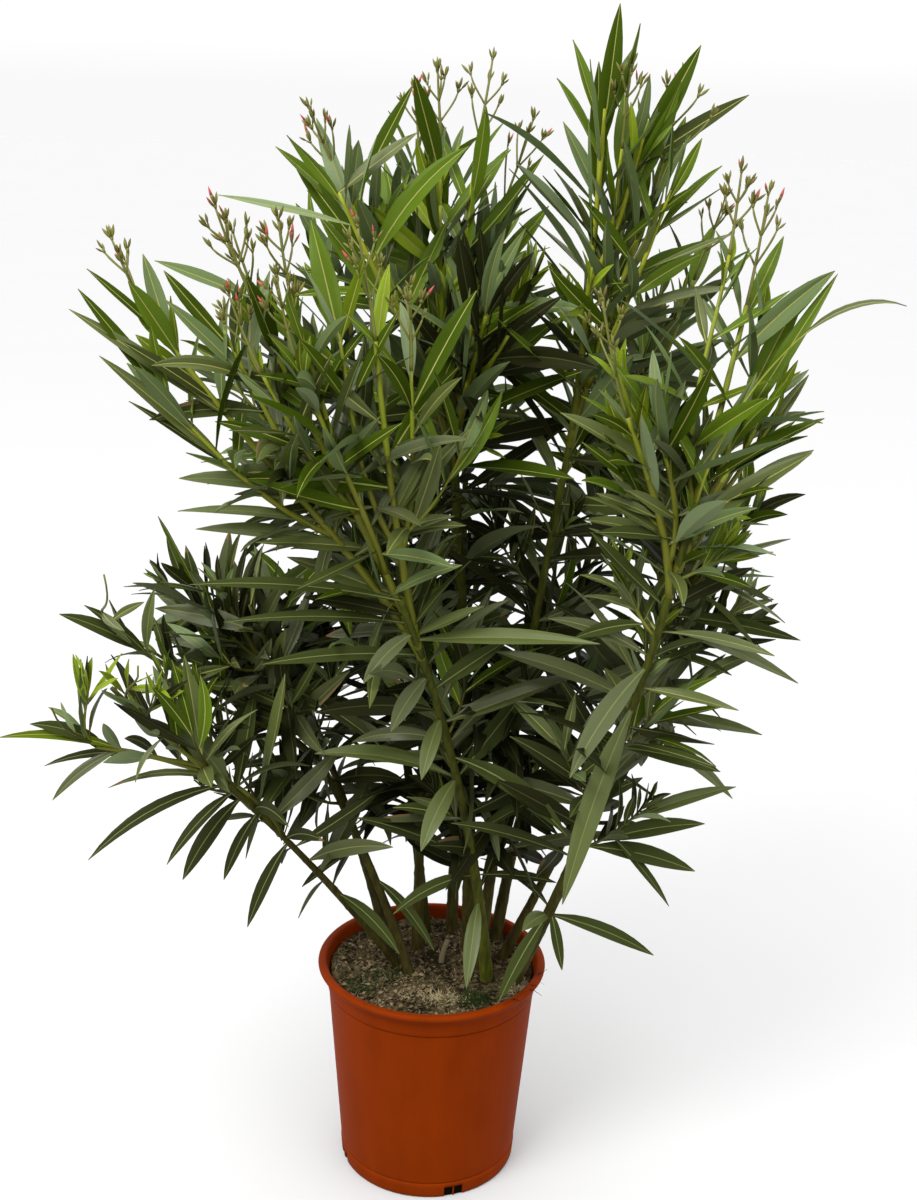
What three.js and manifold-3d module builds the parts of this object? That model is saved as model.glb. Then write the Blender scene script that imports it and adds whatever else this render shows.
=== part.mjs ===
// Potted oleander: a nursery pot, its soil, twelve stems and the masses of foliage that they carry.
// Millimetres, +Z up. The origin is the centre of the pot's flat underside, and -Y is the front.
//
// Places round the pot are given as heading (degrees from +X towards +Y), reach (distance from the
// pot's axis) and height. A stem is a tapering limb from its foot on the soil to its head, and every
// mass of foliage follows either a stem or a shoot that grows on from a stem's head.

import * as THREE from 'three';
import { mergeVertices } from 'three/addons/utils/BufferGeometryUtils.js';
import Module from 'manifold-3d';

const wasm = await Module();
wasm.setup();

// --- driving dimensions -----------------------------------------------------------------------

const GAP = 0.3; // clearance that pieces which meet each other keep

const POT_HEIGHT = 290;
const RIM_RADIUS = 150;
const BODY_TOP_RADIUS = 138;
const BASE_RADIUS = 117;
const POT_WALL = 2.4;
const POT_FLOOR = 3;
const LIP_HEIGHT = 12;
const LIP_ROUND = 2.5;
const COLLAR_DROP = 36; // from the rim down to the step under the collar
const COLLAR_STEP = 1.4;
const FOOT_BAND = 22; // from the ground up to the groove over the foot band
const GROOVE = 1.2;
const POT_SEGMENTS = 32;

const NOTCH_PAIRS = 4; // drainage notches in the pot's bottom edge
const NOTCH_HEADING = -72;
const NOTCH_SPREAD = 5.4; // degrees between the two of a pair
const NOTCH_WIDTH = 8;
const NOTCH_HEIGHT = 9;
const NOTCH_DEPTH = 9;

const SOIL_LEVEL = 270;
const SOIL_BED_RADIUS = 129; // the flat bed that the stems stand on
const SOIL_EDGE_DROP = 4;
const SOIL_UNEVEN = 2;

const STEM_SIDES = 7;
const STEM_STEPS = 6;
const HEAD_THICKNESS = 0.55; // of the thickness at the foot
const ROOT_FLARE = 0.4;
const FLARE_HEIGHT = 0.05; // of the stem's length

const LEAFY_FROM = 425; // height where the stems' foliage begins
const SLEEVE_OVERRUN = 0.04; // of the stem's length, past its head
const MASS_SIDES = 9;
const MASS_RING_STEP = 62; // length of a mass that each of its rings stands for
const WHORL_SWELL = 0.1;
const MASS_UNEVEN = 0.13;
const SHOOT_LIFT = 0.35; // how far a shoot turns up towards its tip
const AXIS_SAMPLES = 12;

const STEMS = [
  { name: 'stem_front', foot: [341, 77], head: [257, 200, 845], thick: 20, lean: 0.45, sleeve: 118 },
  { name: 'stem_right_front', foot: [340, 111], head: [321, 348, 970], thick: 20, lean: 1.35, sleeve: 116 },
  { name: 'stem_left_low', foot: [167, 46], head: [206, 277, 585], thick: 15, lean: 0.9, sleeve: 84 },
  { name: 'stem_left', foot: [208, 32], head: [169, 204, 640], thick: 17, lean: 0.7, sleeve: 100 },
  { name: 'stem_left_back', foot: [135, 85], head: [144, 286, 700], thick: 17, lean: 0.7, sleeve: 104 },
  { name: 'stem_back_left', foot: [96, 96], head: [123, 202, 880], thick: 19, lean: 0.6, sleeve: 108 },
  { name: 'stem_back', foot: [75, 103], head: [83, 232, 900], thick: 19, lean: 0.7, sleeve: 112 },
  { name: 'stem_middle', foot: [43, 71], head: [279, 30, 1030], thick: 26, lean: 0.5, sleeve: 104 },
  { name: 'stem_back_right', foot: [43, 117], head: [39, 270, 860], thick: 20, lean: 0.7, sleeve: 112 },
  { name: 'stem_right_top', foot: [5, 60], head: [345, 155, 1020], thick: 20, lean: 0.8, sleeve: 104 },
  { name: 'stem_right', foot: [20, 101], head: [8, 293, 760], thick: 17, lean: 1.1, sleeve: 108 },
  { name: 'stem_back_middle', foot: [112, 54], head: [99, 122, 1000], thick: 19, lean: 0.6, sleeve: 100 },
];

const SHOOTS = [
  { name: 'foliage_far_left', stem: 'stem_front', tip: [209, 415, 1232], girth: 98 },
  { name: 'foliage_upper_left', stem: 'stem_front', tip: [218, 311, 1274], girth: 100 },
  { name: 'foliage_front_middle', stem: 'stem_front', tip: [247, 228, 1261], girth: 94 },
  { name: 'foliage_right_upper', stem: 'stem_right_front', tip: [343, 367, 1335], girth: 88 },
  { name: 'foliage_right_front', stem: 'stem_right_front', tip: [337, 439, 1210], girth: 88 },
  { name: 'foliage_front_right', stem: 'stem_right_front', tip: [300, 288, 1195], girth: 92 },
  { name: 'foliage_low_left', stem: 'stem_left_low', tip: [199, 527, 662], girth: 50, lift: 0 },
  { name: 'foliage_low_left_inner', stem: 'stem_left_low', tip: [200, 439, 759], girth: 88 },
  { name: 'foliage_left_outer', stem: 'stem_left', tip: [184, 440, 780], girth: 86 },
  { name: 'foliage_left_middle', stem: 'stem_left', tip: [184, 300, 870], girth: 92 },
  { name: 'foliage_left_back', stem: 'stem_left_back', tip: [160, 440, 800], girth: 98 },
  { name: 'foliage_back_left', stem: 'stem_back_left', tip: [148, 400, 1120], girth: 104 },
  { name: 'foliage_back_left_top', stem: 'stem_back_left', tip: [124, 242, 1310], girth: 96 },
  { name: 'foliage_back', stem: 'stem_back', tip: [87, 331, 1200], girth: 108 },
  { name: 'foliage_top_left', stem: 'stem_middle', tip: [191, 160, 1372], girth: 94 },
  { name: 'foliage_top_middle', stem: 'stem_middle', tip: [32, 38, 1435], girth: 84 },
  { name: 'foliage_middle', stem: 'stem_middle', tip: [293, 152, 1250], girth: 84 },
  { name: 'foliage_top_right', stem: 'stem_right_top', tip: [350, 173, 1480], girth: 92 },
  { name: 'foliage_top_right_outer', stem: 'stem_right_top', tip: [356, 269, 1440], girth: 86 },
  { name: 'foliage_top_back_left', stem: 'stem_back_middle', tip: [108, 147, 1393], girth: 92 },
  { name: 'foliage_top_back_right', stem: 'stem_back_middle', tip: [62, 200, 1370], girth: 96 },
  { name: 'foliage_back_right', stem: 'stem_back_right', tip: [43, 410, 1150], girth: 108 },
  { name: 'foliage_back_right_top', stem: 'stem_back_right', tip: [20, 351, 1280], girth: 96 },
  { name: 'foliage_right_middle', stem: 'stem_right', tip: [4, 400, 1010], girth: 92 },
  { name: 'foliage_right_low', stem: 'stem_right', tip: [15, 455, 820], girth: 94 },
  { name: 'foliage_right_reach', stem: 'stem_right_front', tip: [348, 512, 1182], girth: 22 },
];

const UP = new THREE.Vector3(0, 0, 1);

// --- small tools ------------------------------------------------------------------------------

function placeAt(heading, reach, height) {
  const angle = THREE.MathUtils.degToRad(heading);
  return new THREE.Vector3(reach * Math.cos(angle), reach * Math.sin(angle), height);
}

// A repeatable random number from 0 to 1 for each seed.
function seededRandom(seed) {
  let state = (seed * 7919 + 104729) % 2147483647;
  return () => {
    state = (state * 48271) % 2147483647;
    return state / 2147483647;
  };
}

// A closed solid from a closed geometry, with the vertices that its faces share made one.
function solidFrom(geometry) {
  geometry.deleteAttribute('normal');
  geometry.deleteAttribute('uv');
  const merged = mergeVertices(geometry, 1e-4);
  return new wasm.Manifold(new wasm.Mesh({
    numProp: 3,
    vertProperties: new Float32Array(merged.attributes.position.array),
    triVerts: new Uint32Array(merged.index.array),
  }));
}

function geometryFrom(solid) {
  const cut = solid.getMesh();
  const geometry = new THREE.BufferGeometry();
  geometry.setAttribute('position', new THREE.BufferAttribute(cut.vertProperties, 3));
  geometry.setIndex(new THREE.BufferAttribute(cut.triVerts, 1));
  geometry.computeVertexNormals();
  return geometry;
}

function largestPieceOf(solid) {
  const pieces = solid.decompose();
  pieces.sort((a, b) => b.volume() - a.volume());
  return pieces[0];
}

// The half of space on the far side of a plane, as a box large enough for the whole plant.
function farSideOf(point, normal, clearance) {
  const size = 4000;
  const box = new THREE.BoxGeometry(size, size, size);
  box.translate(0, 0, size / 2 + clearance);
  box.applyQuaternion(new THREE.Quaternion().setFromUnitVectors(UP, normal));
  box.translate(point.x, point.y, point.z);
  return solidFrom(box);
}

// --- pot and soil -----------------------------------------------------------------------------

function wallRadius(height) {
  return BASE_RADIUS + (BODY_TOP_RADIUS - BASE_RADIUS) * (height / (POT_HEIGHT - LIP_HEIGHT));
}

function latheAboutZ(profile) {
  const points = profile.map(([radius, height]) => new THREE.Vector2(radius, height));
  return new THREE.LatheGeometry(points, POT_SEGMENTS).rotateX(Math.PI / 2);
}

function potProfile() {
  const underLip = POT_HEIGHT - LIP_HEIGHT;
  const collarFoot = POT_HEIGHT - COLLAR_DROP;
  return [
    [0, 0],
    [BASE_RADIUS - GROOVE, 0],
    [wallRadius(GROOVE), GROOVE],
    [wallRadius(FOOT_BAND - GROOVE), FOOT_BAND - GROOVE],
    [wallRadius(FOOT_BAND) - GROOVE, FOOT_BAND],
    [wallRadius(FOOT_BAND + GROOVE), FOOT_BAND + GROOVE],
    [wallRadius(collarFoot), collarFoot],
    [wallRadius(collarFoot) + COLLAR_STEP, collarFoot + COLLAR_STEP],
    [wallRadius(underLip) + COLLAR_STEP, underLip],
    [RIM_RADIUS - 1, underLip + 1],
    [RIM_RADIUS, underLip + LIP_ROUND],
    [RIM_RADIUS, POT_HEIGHT - LIP_ROUND],
    [RIM_RADIUS - LIP_ROUND, POT_HEIGHT],
    [wallRadius(POT_HEIGHT) + 1, POT_HEIGHT],
    [wallRadius(underLip) - POT_WALL, underLip],
    [wallRadius(POT_FLOOR) - POT_WALL, POT_FLOOR],
    [0, POT_FLOOR],
  ];
}

function drainageNotch(heading) {
  const notch = new THREE.BoxGeometry(NOTCH_DEPTH, NOTCH_WIDTH, NOTCH_HEIGHT * 2);
  notch.translate(BASE_RADIUS, 0, 0);
  notch.rotateZ(THREE.MathUtils.degToRad(heading));
  return solidFrom(notch);
}

function potGeometry() {
  let pot = solidFrom(latheAboutZ(potProfile()));
  for (let pair = 0; pair < NOTCH_PAIRS; pair += 1) {
    const heading = NOTCH_HEADING + (pair * 360) / NOTCH_PAIRS;
    for (const side of [-0.5, 0.5]) {
      pot = pot.subtract(drainageNotch(heading + side * NOTCH_SPREAD));
    }
  }
  return geometryFrom(pot);
}

function soilGeometry() {
  const edge = SOIL_LEVEL - SOIL_EDGE_DROP;
  const soil = latheAboutZ([
    [0, POT_FLOOR + GAP],
    [wallRadius(POT_FLOOR) - POT_WALL - 2 * GAP, POT_FLOOR + GAP],
    [wallRadius(edge) - POT_WALL - 2 * GAP, edge],
    [SOIL_BED_RADIUS, SOIL_LEVEL],
    [0, SOIL_LEVEL],
  ]);
  const random = seededRandom(1);
  const uneven = Array.from({ length: POT_SEGMENTS }, () => random() * SOIL_UNEVEN);
  const position = soil.attributes.position;
  for (let i = 0; i < position.count; i += 1) {
    if (Math.abs(position.getZ(i) - edge) < GAP) {
      const turn = Math.atan2(position.getY(i), position.getX(i)) / (2 * Math.PI);
      const place = Math.round((turn + 1) * POT_SEGMENTS) % POT_SEGMENTS;
      position.setZ(i, edge - uneven[place]);
    }
  }
  return geometryFrom(solidFrom(soil));
}

// --- limbs ------------------------------------------------------------------------------------

function limbCurve(start, startAim, end, endAim) {
  const third = start.distanceTo(end) / 3;
  return new THREE.CubicBezierCurve3(
    start,
    start.clone().addScaledVector(startAim, third),
    end.clone().addScaledVector(endAim, -third),
    end,
  );
}

// A stem sets off between straight up (lean 0) and straight at its head (lean 1), and bends back
// by as much as it set off from the straight line.
function stemCurve(stem) {
  const foot = placeAt(stem.foot[0], stem.foot[1], SOIL_LEVEL + GAP);
  const head = placeAt(...stem.head);
  const chord = head.clone().sub(foot).normalize();
  const startAim = UP.clone().lerp(chord, stem.lean).normalize();
  const endAim = chord.clone().multiplyScalar(2 * chord.dot(startAim)).sub(startAim).normalize();
  return limbCurve(foot, startAim, head, endAim);
}

// A shoot sets off half way between its stem's direction and its own tip, and turns up at the tip.
function shootCurve(shoot, stemLine) {
  const start = stemLine.getPoint(1);
  const tip = placeAt(...shoot.tip);
  const chord = tip.clone().sub(start).normalize();
  const startAim = stemLine.getTangent(1).lerp(chord, 0.5).normalize();
  const endAim = chord.clone().addScaledVector(UP, shoot.lift ?? SHOOT_LIFT).normalize();
  return limbCurve(start, startAim, tip, endAim);
}

// Two directions square to a limb's own, which turn as little as they can along it.
function sideways(along) {
  const right = new THREE.Vector3(0, 1, 0).cross(along).normalize();
  const back = along.clone().cross(right).normalize();
  return { right, back };
}

// A stem as a seven-sided limb with a flared foot and a flat cut at each end. With a clearance it
// is the room that a mass of foliage leaves round the stem.
function stemGeometry(stem, clearance = 0) {
  const curve = stemCurve(stem);
  const limb = new THREE.CylinderGeometry(1, 1, 1, STEM_SIDES, STEM_STEPS);
  const position = limb.attributes.position;
  for (let i = 0; i < position.count; i += 1) {
    const t = position.getY(i) + 0.5;
    const along = t > 0 ? curve.getTangent(t) : UP;
    const { right, back } = sideways(along);
    const flare = 1 + ROOT_FLARE * Math.exp(-t / FLARE_HEIGHT);
    const radius = (stem.thick / 2) * (1 - (1 - HEAD_THICKNESS) * t) * flare + clearance;
    const place = curve.getPoint(t).addScaledVector(along, t === 1 ? clearance : 0);
    place.addScaledVector(right, position.getX(i) * radius);
    place.addScaledVector(back, position.getZ(i) * -radius);
    position.setXYZ(i, place.x, place.y, place.z);
  }
  return limb;
}

// --- masses of foliage ------------------------------------------------------------------------

// How wide a mass is along its length: a sleeve round a stem stays wide to both of its ends, and a
// shoot's foliage is widest below its middle and runs out to a point.
function sleeveWidth(t) {
  return Math.sin(Math.PI * t) ** 0.35;
}

function plumeWidth(t) {
  return Math.sin(Math.PI * t ** 0.75) ** 0.8;
}

function sleeveMass(stem, seed) {
  const curve = stemCurve(stem);
  const span = stem.head[2] - SOIL_LEVEL;
  const from = (LEAFY_FROM - SOIL_LEVEL) / span;
  const to = 1 + SLEEVE_OVERRUN;
  const end = curve.getPoint(1);
  const endAim = curve.getTangent(1);
  const pointAt = (t) => {
    const u = from + (to - from) * t;
    return u <= 1 ? curve.getPoint(u) : end.clone().addScaledVector(endAim, (u - 1) * span);
  };
  const aimAt = (t) => curve.getTangent(Math.min(1, from + (to - from) * t));
  const name = stem.name.replace('stem_', 'foliage_round_');
  const length = curve.getLength() * (to - from);
  return { name, pointAt, aimAt, length, girth: stem.sleeve, width: sleeveWidth, seed };
}

function plumeMass(shoot, seed) {
  const stem = STEMS.find((candidate) => candidate.name === shoot.stem);
  const curve = shootCurve(shoot, stemCurve(stem));
  return {
    name: shoot.name,
    pointAt: (t) => curve.getPoint(t),
    aimAt: (t) => curve.getTangent(t),
    length: curve.getLength(),
    girth: shoot.girth,
    width: plumeWidth,
    seed,
  };
}

// A ball whose rings are strung along the mass's line, swollen at every other ring as the whorls
// of leaves are, and roughened by a seeded amount at each corner.
function massSolid(mass) {
  const rings = Math.max(4, Math.round(mass.length / MASS_RING_STEP));
  const ball = new THREE.SphereGeometry(1, MASS_SIDES, rings);
  ball.deleteAttribute('normal');
  ball.deleteAttribute('uv');
  const merged = mergeVertices(ball, 1e-4);
  const position = merged.attributes.position;
  const random = seededRandom(mass.seed);
  for (let i = 0; i < position.count; i += 1) {
    const ring = Math.round((Math.acos(position.getY(i)) / Math.PI) * rings);
    const t = 1 - ring / rings;
    const turn = Math.atan2(position.getZ(i), position.getX(i)) + ring * 0.3;
    const { right, back } = sideways(mass.aimAt(t));
    const swell = 1 + WHORL_SWELL * (ring % 2 ? 1 : -1);
    const rough = 1 + MASS_UNEVEN * (2 * random() - 1);
    const radius = ring % rings ? mass.girth * mass.width(t) * swell * rough : 0;
    const place = mass.pointAt(t);
    place.addScaledVector(right, Math.cos(turn) * radius);
    place.addScaledVector(back, Math.sin(turn) * -radius);
    position.setXYZ(i, place.x, place.y, place.z);
  }
  return solidFrom(merged);
}

function samplesOf(mass) {
  return Array.from({ length: AXIS_SAMPLES }, (_, i) => {
    const t = (i + 0.5) / AXIS_SAMPLES;
    return { point: mass.pointAt(t), radius: mass.girth * mass.width(t) };
  });
}

// The plane that parts two masses which reach into each other: it stands where they are deepest
// in each other, square to the way from the first to the second.
function partingPlane(first, second) {
  const normal = new THREE.Vector3();
  const point = new THREE.Vector3();
  let weightSum = 0;
  for (const a of samplesOf(first)) {
    for (const b of samplesOf(second)) {
      const way = b.point.clone().sub(a.point);
      const depth = (a.radius + b.radius) * (1 + MASS_UNEVEN + WHORL_SWELL) - way.length();
      if (depth > 0) {
        const weight = depth * depth;
        normal.addScaledVector(way.clone().normalize(), weight);
        point.addScaledVector(a.point, weight);
        point.addScaledVector(way, (weight * a.radius) / (a.radius + b.radius));
        weightSum += weight;
      }
    }
  }
  if (weightSum === 0) return null;
  return { normal: normal.normalize(), point: point.divideScalar(weightSum) };
}

function foliageSolids() {
  const masses = [
    ...STEMS.map((stem, index) => sleeveMass(stem, 100 + index)),
    ...SHOOTS.map((shoot, index) => plumeMass(shoot, 200 + index)),
  ];
  for (const mass of masses) mass.solid = massSolid(mass);
  for (let i = 0; i < masses.length; i += 1) {
    for (let j = i + 1; j < masses.length; j += 1) {
      const plane = partingPlane(masses[i], masses[j]);
      if (plane === null) continue;
      const back = plane.normal.clone().negate();
      masses[i].solid = masses[i].solid.subtract(farSideOf(plane.point, plane.normal, -GAP / 2));
      masses[j].solid = masses[j].solid.subtract(farSideOf(plane.point, back, -GAP / 2));
    }
  }
  const rooms = STEMS.map((stem) => solidFrom(stemGeometry(stem, 1.2 * GAP)));
  for (const mass of masses) {
    for (const room of rooms) mass.solid = mass.solid.subtract(room);
    mass.solid = largestPieceOf(mass.solid);
  }
  return masses;
}

// --- materials --------------------------------------------------------------------------------

function potPlastic() {
  return new THREE.MeshStandardMaterial({ color: 0x8f3710, roughness: 0.55, metalness: 0 });
}

function soilEarth() {
  return new THREE.MeshStandardMaterial({ color: 0x4a4236, roughness: 0.95, metalness: 0 });
}

function stemBark() {
  return new THREE.MeshStandardMaterial({ color: 0x5a5030, roughness: 0.8, metalness: 0 });
}

function leafGreen() {
  return new THREE.MeshStandardMaterial({ color: 0x37502a, roughness: 0.6, metalness: 0 });
}

// --- the plant --------------------------------------------------------------------------------

function named(name, geometry, material) {
  const mesh = new THREE.Mesh(geometry, material);
  mesh.name = name;
  return mesh;
}

const group = new THREE.Group();
group.add(named('pot', potGeometry(), potPlastic()));
group.add(named('soil', soilGeometry(), soilEarth()));
for (const stem of STEMS) {
  group.add(named(stem.name, geometryFrom(solidFrom(stemGeometry(stem))), stemBark()));
}
for (const mass of foliageSolids()) {
  group.add(named(mass.name, geometryFrom(mass.solid), leafGreen()));
}

export default group;
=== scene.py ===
import math
from dataclasses import dataclass

import bpy
import numpy as np
from bpy.props import FloatProperty, FloatVectorProperty, IntProperty, PointerProperty
from mathutils import Matrix, Vector
from mathutils.bvhtree import BVHTree


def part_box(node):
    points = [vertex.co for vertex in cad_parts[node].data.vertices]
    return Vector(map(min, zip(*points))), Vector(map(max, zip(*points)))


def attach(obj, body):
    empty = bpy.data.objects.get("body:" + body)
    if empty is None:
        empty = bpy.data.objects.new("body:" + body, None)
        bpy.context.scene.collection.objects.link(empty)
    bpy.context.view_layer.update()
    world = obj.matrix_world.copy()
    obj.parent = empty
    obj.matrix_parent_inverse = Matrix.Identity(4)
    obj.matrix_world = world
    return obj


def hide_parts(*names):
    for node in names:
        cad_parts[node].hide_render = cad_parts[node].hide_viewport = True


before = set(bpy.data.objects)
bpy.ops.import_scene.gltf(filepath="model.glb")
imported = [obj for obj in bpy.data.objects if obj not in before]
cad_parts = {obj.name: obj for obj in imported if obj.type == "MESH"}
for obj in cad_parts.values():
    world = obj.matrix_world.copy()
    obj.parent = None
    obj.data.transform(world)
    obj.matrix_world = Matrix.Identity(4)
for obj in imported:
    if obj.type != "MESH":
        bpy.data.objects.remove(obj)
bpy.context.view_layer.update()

bl_info = {
    "name": "Potted Oleander",
    "version": (1, 0, 0),
    "blender": (4, 5, 0),
    "location": "3D View > Sidebar > Oleander",
    "description": "Grows the leaves, bark, flower buds, soil and pot of an oleander on its packed frame",
    "category": "Object",
}

SEED = 2624
FULL_TURN = 2 * math.pi
GOLDEN_TURN = 2.4
UP = np.array((0.0, 0.0, 1.0))
FRONT = np.array((0.0, -1.0, 0.0))
BODY = "root"
MASS_PREFIX = "foliage_"
SLEEVE_PREFIX = "round_"
STRAY_MASS = "right_reach"

# The bark, the leaves and the rest each draw from a seed of their own.
CRUMB_SEED = SEED + 301
FIBRE_SEED = SEED + 302
BARK_SEED = SEED + 401
SHOOT_SEED = SEED + 451
LEAF_SEED = SEED + 501
FLOWER_SEED = SEED + 601

# A younger stem, whose bark is still green near the soil.
GREEN_STEMS = ("stem_front",)


@dataclass(frozen=True)
class Habit:
    """How one mass of foliage grows, where it differs from the usual way."""

    stem: str = ""  # the stem that it grows on from; a sleeve of foliage is named for its own
    heads: int = 0  # how many flower heads stand on its shoots
    clear: float = 0.0  # how far the tallest of them stands clear of the last leaves
    short: float = 0.0  # how much further back from the mass's tip its main shoot ends
    gaps: float | None = None  # the share of its leaves that are missing
    forks: int | None = None  # how many forks stand beside its main shoot
    arch: float = 0.0  # how far its main shoot arches up on its way
    fresh: float = 0.0  # how much brighter its leaves are, for all that they are low
    open_front: bool = False  # its leaves spread left and right and leave the main shoot in view
    inner: bool = False  # it is deep inside the crown, and most of its leaves take the painted shade


HABITS = {
    "far_left": Habit("front", heads=1, clear=0.110, gaps=0.12, open_front=True),
    "upper_left": Habit("front", heads=5, clear=0.110, gaps=0.24, forks=4, open_front=True),
    "front_middle": Habit("front", heads=2, clear=0.130, gaps=0.30, open_front=True),
    "right_upper": Habit("right_front", heads=2, clear=0.130, short=0.04, gaps=0.25, open_front=True),
    "right_front": Habit("right_front", short=0.12, gaps=0.35, open_front=True),
    "front_right": Habit("right_front", heads=1, clear=0.140, open_front=True),
    "right_reach": Habit("right_front", arch=1.6),
    "low_left": Habit("left_low", short=0.05, gaps=0.50, forks=1, arch=1.2, fresh=1.5, open_front=True),
    "low_left_inner": Habit("left_low", gaps=0.50, forks=2, fresh=0.8),
    "left_outer": Habit("left", gaps=0.25, forks=2, fresh=0.5),
    "left_middle": Habit("left"),
    "left_back": Habit("left_back"),
    "back_left": Habit("back_left"),
    "back_left_top": Habit("back_left", heads=1, clear=0.115),
    "back": Habit("back", heads=1, clear=0.115),
    "top_left": Habit("middle", heads=1, clear=0.115, gaps=0.16, open_front=True),
    "top_middle": Habit("middle", heads=2, clear=0.150, gaps=0.28),
    "middle": Habit("middle", inner=True),
    "top_right": Habit("right_top", gaps=0.40),
    "top_right_outer": Habit("right_top", heads=2, clear=0.165, short=0.02),
    "top_back_left": Habit("back_middle", heads=1, clear=0.115),
    "top_back_right": Habit("back_middle", heads=1, clear=0.180),
    "back_right": Habit("back_right"),
    "back_right_top": Habit("back_right", heads=1, clear=0.115),
    "right_middle": Habit("right", short=0.03, gaps=0.28),
    "right_low": Habit("right", gaps=0.25),
    "round_front": Habit(open_front=True),
    "round_right_front": Habit(open_front=True),
    "round_middle": Habit(inner=True),
    "round_back_middle": Habit(inner=True),
    "round_right_top": Habit(inner=True),
}
USUAL_HABIT = Habit()

# Single leaves of a mass that reach out past the rest or lie in front of them: the heading, reach
# and height of each one's tip in degrees and millimetres, its length, its width and its finish.
REACHING_LEAVES = {
    "top_right": (
        ((350, 180, 1480), 160, 22, "leaf_upper_dark"),
        ((355, 270, 1440), 160, 24, "leaf_upper_dark"),
        ((0, 160, 1420), 160, 20, "leaf_upper_dark"),
        ((0, 330, 1390), 160, 22, "leaf_mature_dark"),
    ),
    "top_left": (
        ((200, 270, 1270), 150, 12, "leaf_under_pale"),
        ((190, 200, 1320), 150, 22, "leaf_upper"),
        ((160, 50, 1390), 95, 20, "leaf_upper_dark"),
        ((235, 70, 1340), 75, 18, "leaf_mature"),
        ((230, 80, 1290), 100, 22, "leaf_upper"),
        ((210, 120, 1330), 80, 20, "leaf_under_young"),
    ),
    "top_middle": (
        ((205, 50, 1400), 125, 24, "leaf_upper_dark"),
    ),
    "far_left": (
        ((210, 450, 1160), 200, 18, "leaf_mature"),
        ((210, 440, 1180), 160, 16, "leaf_upper_dark"),
        ((210, 430, 1200), 110, 12, "leaf_upper_dark"),
        ((210, 420, 1110), 180, 18, "leaf_mature"),
        ((210, 390, 1060), 130, 12, "leaf_mature_dark"),
        ((215, 410, 1130), 120, 16, "leaf_mature_dark"),
        ((205, 360, 1210), 110, 18, "leaf_under_young"),
        ((215, 360, 1170), 120, 18, "leaf_under_young"),
        ((215, 400, 1190), 95, 24, "leaf_upper"),
    ),
    "upper_left": (
        ((215, 370, 1210), 90, 18, "leaf_under_young"),
        ((230, 320, 1200), 110, 26, "leaf_upper_dark"),
    ),
    "front_middle": (
        ((225, 210, 1250), 140, 26, "leaf_upper"),
        ((240, 300, 1140), 110, 24, "leaf_upper_dark"),
    ),
    "right_upper": (
        ((340, 440, 1210), 205, 18, "leaf_upper"),
        ((300, 350, 1120), 155, 30, "leaf_young_dark"),
        ((340, 410, 1200), 155, 22, "leaf_upper"),
    ),
    "right_reach": (
        ((350, 510, 1180), 155, 9, "leaf_mature"),
    ),
    "right_front": (
        ((340, 420, 1100), 110, 14, "leaf_mature"),
        ((345, 430, 1010), 130, 22, "leaf_mature"),
    ),
    "round_front": (
        ((305, 300, 820), 145, 24, "leaf_mature"),
        ((290, 130, 320), 100, 20, "leaf_mature"),
        ((245, 110, 410), 110, 18, "leaf_mature_dark"),
    ),
    "round_left_low": (
        ((240, 90, 340), 95, 18, "leaf_mature_dark"),
        ((210, 420, 630), 95, 9, "leaf_old"),
        ((205, 440, 520), 160, 16, "leaf_old_dark"),
    ),
    "round_left": (
        ((270, 50, 330), 75, 16, "leaf_mature_dark"),
    ),
    "round_right_front": (
        ((305, 150, 300), 110, 20, "leaf_mature_dark"),
        ((305, 190, 420), 85, 20, "leaf_mature"),
        ((330, 190, 330), 80, 14, "leaf_mature_dark"),
        ((350, 290, 330), 145, 20, "leaf_mature_dark"),
        ((345, 335, 470), 145, 26, "leaf_mature_dark"),
        ((340, 310, 430), 120, 14, "leaf_mature_dark"),
        ((340, 345, 550), 130, 24, "leaf_mature_dark"),
        ((345, 375, 590), 130, 18, "leaf_mature"),
        ((340, 360, 620), 130, 22, "leaf_mature_dark"),
    ),
    "round_right": (
        ((0, 380, 530), 145, 20, "leaf_mature"),
        ((0, 410, 620), 145, 22, "leaf_mature"),
        ((0, 450, 690), 145, 22, "leaf_mature"),
        ((355, 440, 760), 145, 20, "leaf_mature_dark"),
    ),
    "low_left": (
        ((200, 530, 670), 145, 12, "leaf_young_dark"),
        ((200, 495, 680), 95, 18, "leaf_mature_dark"),
        ((195, 480, 610), 135, 12, "leaf_old_dark"),
        ((200, 475, 580), 95, 14, "leaf_old"),
    ),
    "low_left_inner": (
        ((205, 340, 680), 120, 30, "leaf_mature"),
    ),
    "left_outer": (
        ((185, 460, 770), 115, 20, "leaf_mature_dark"),
        ((185, 430, 780), 100, 14, "leaf_mature_dark"),
    ),
}

# Short young shoots that stand up from a mass's main shoot: the heading, reach and height of each
# one's tip, and the scale of its leaves.
YOUNG_SHOOTS = {
    "low_left": (((205, 440, 750), 0.80), ((205, 480, 710), 0.70)),
    "low_left_inner": (((210, 390, 760), 0.80), ((210, 370, 730), 0.75)),
    "left_outer": (((205, 415, 860), 0.65),),
}

# Rows of like leaves along a mass's main shoot: the tips of the first and the last, how much higher
# each leaf leaves the shoot, how many there are, their width and their finish.
LEAF_ROWS = {
    "far_left": (((215, 350, 980), (215, 330, 920), -15, 3, 18, "leaf_mature"),),
    "round_front": (((215, 340, 860), (225, 280, 780), -5, 3, 18, "leaf_mature_dark"),),
}

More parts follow.
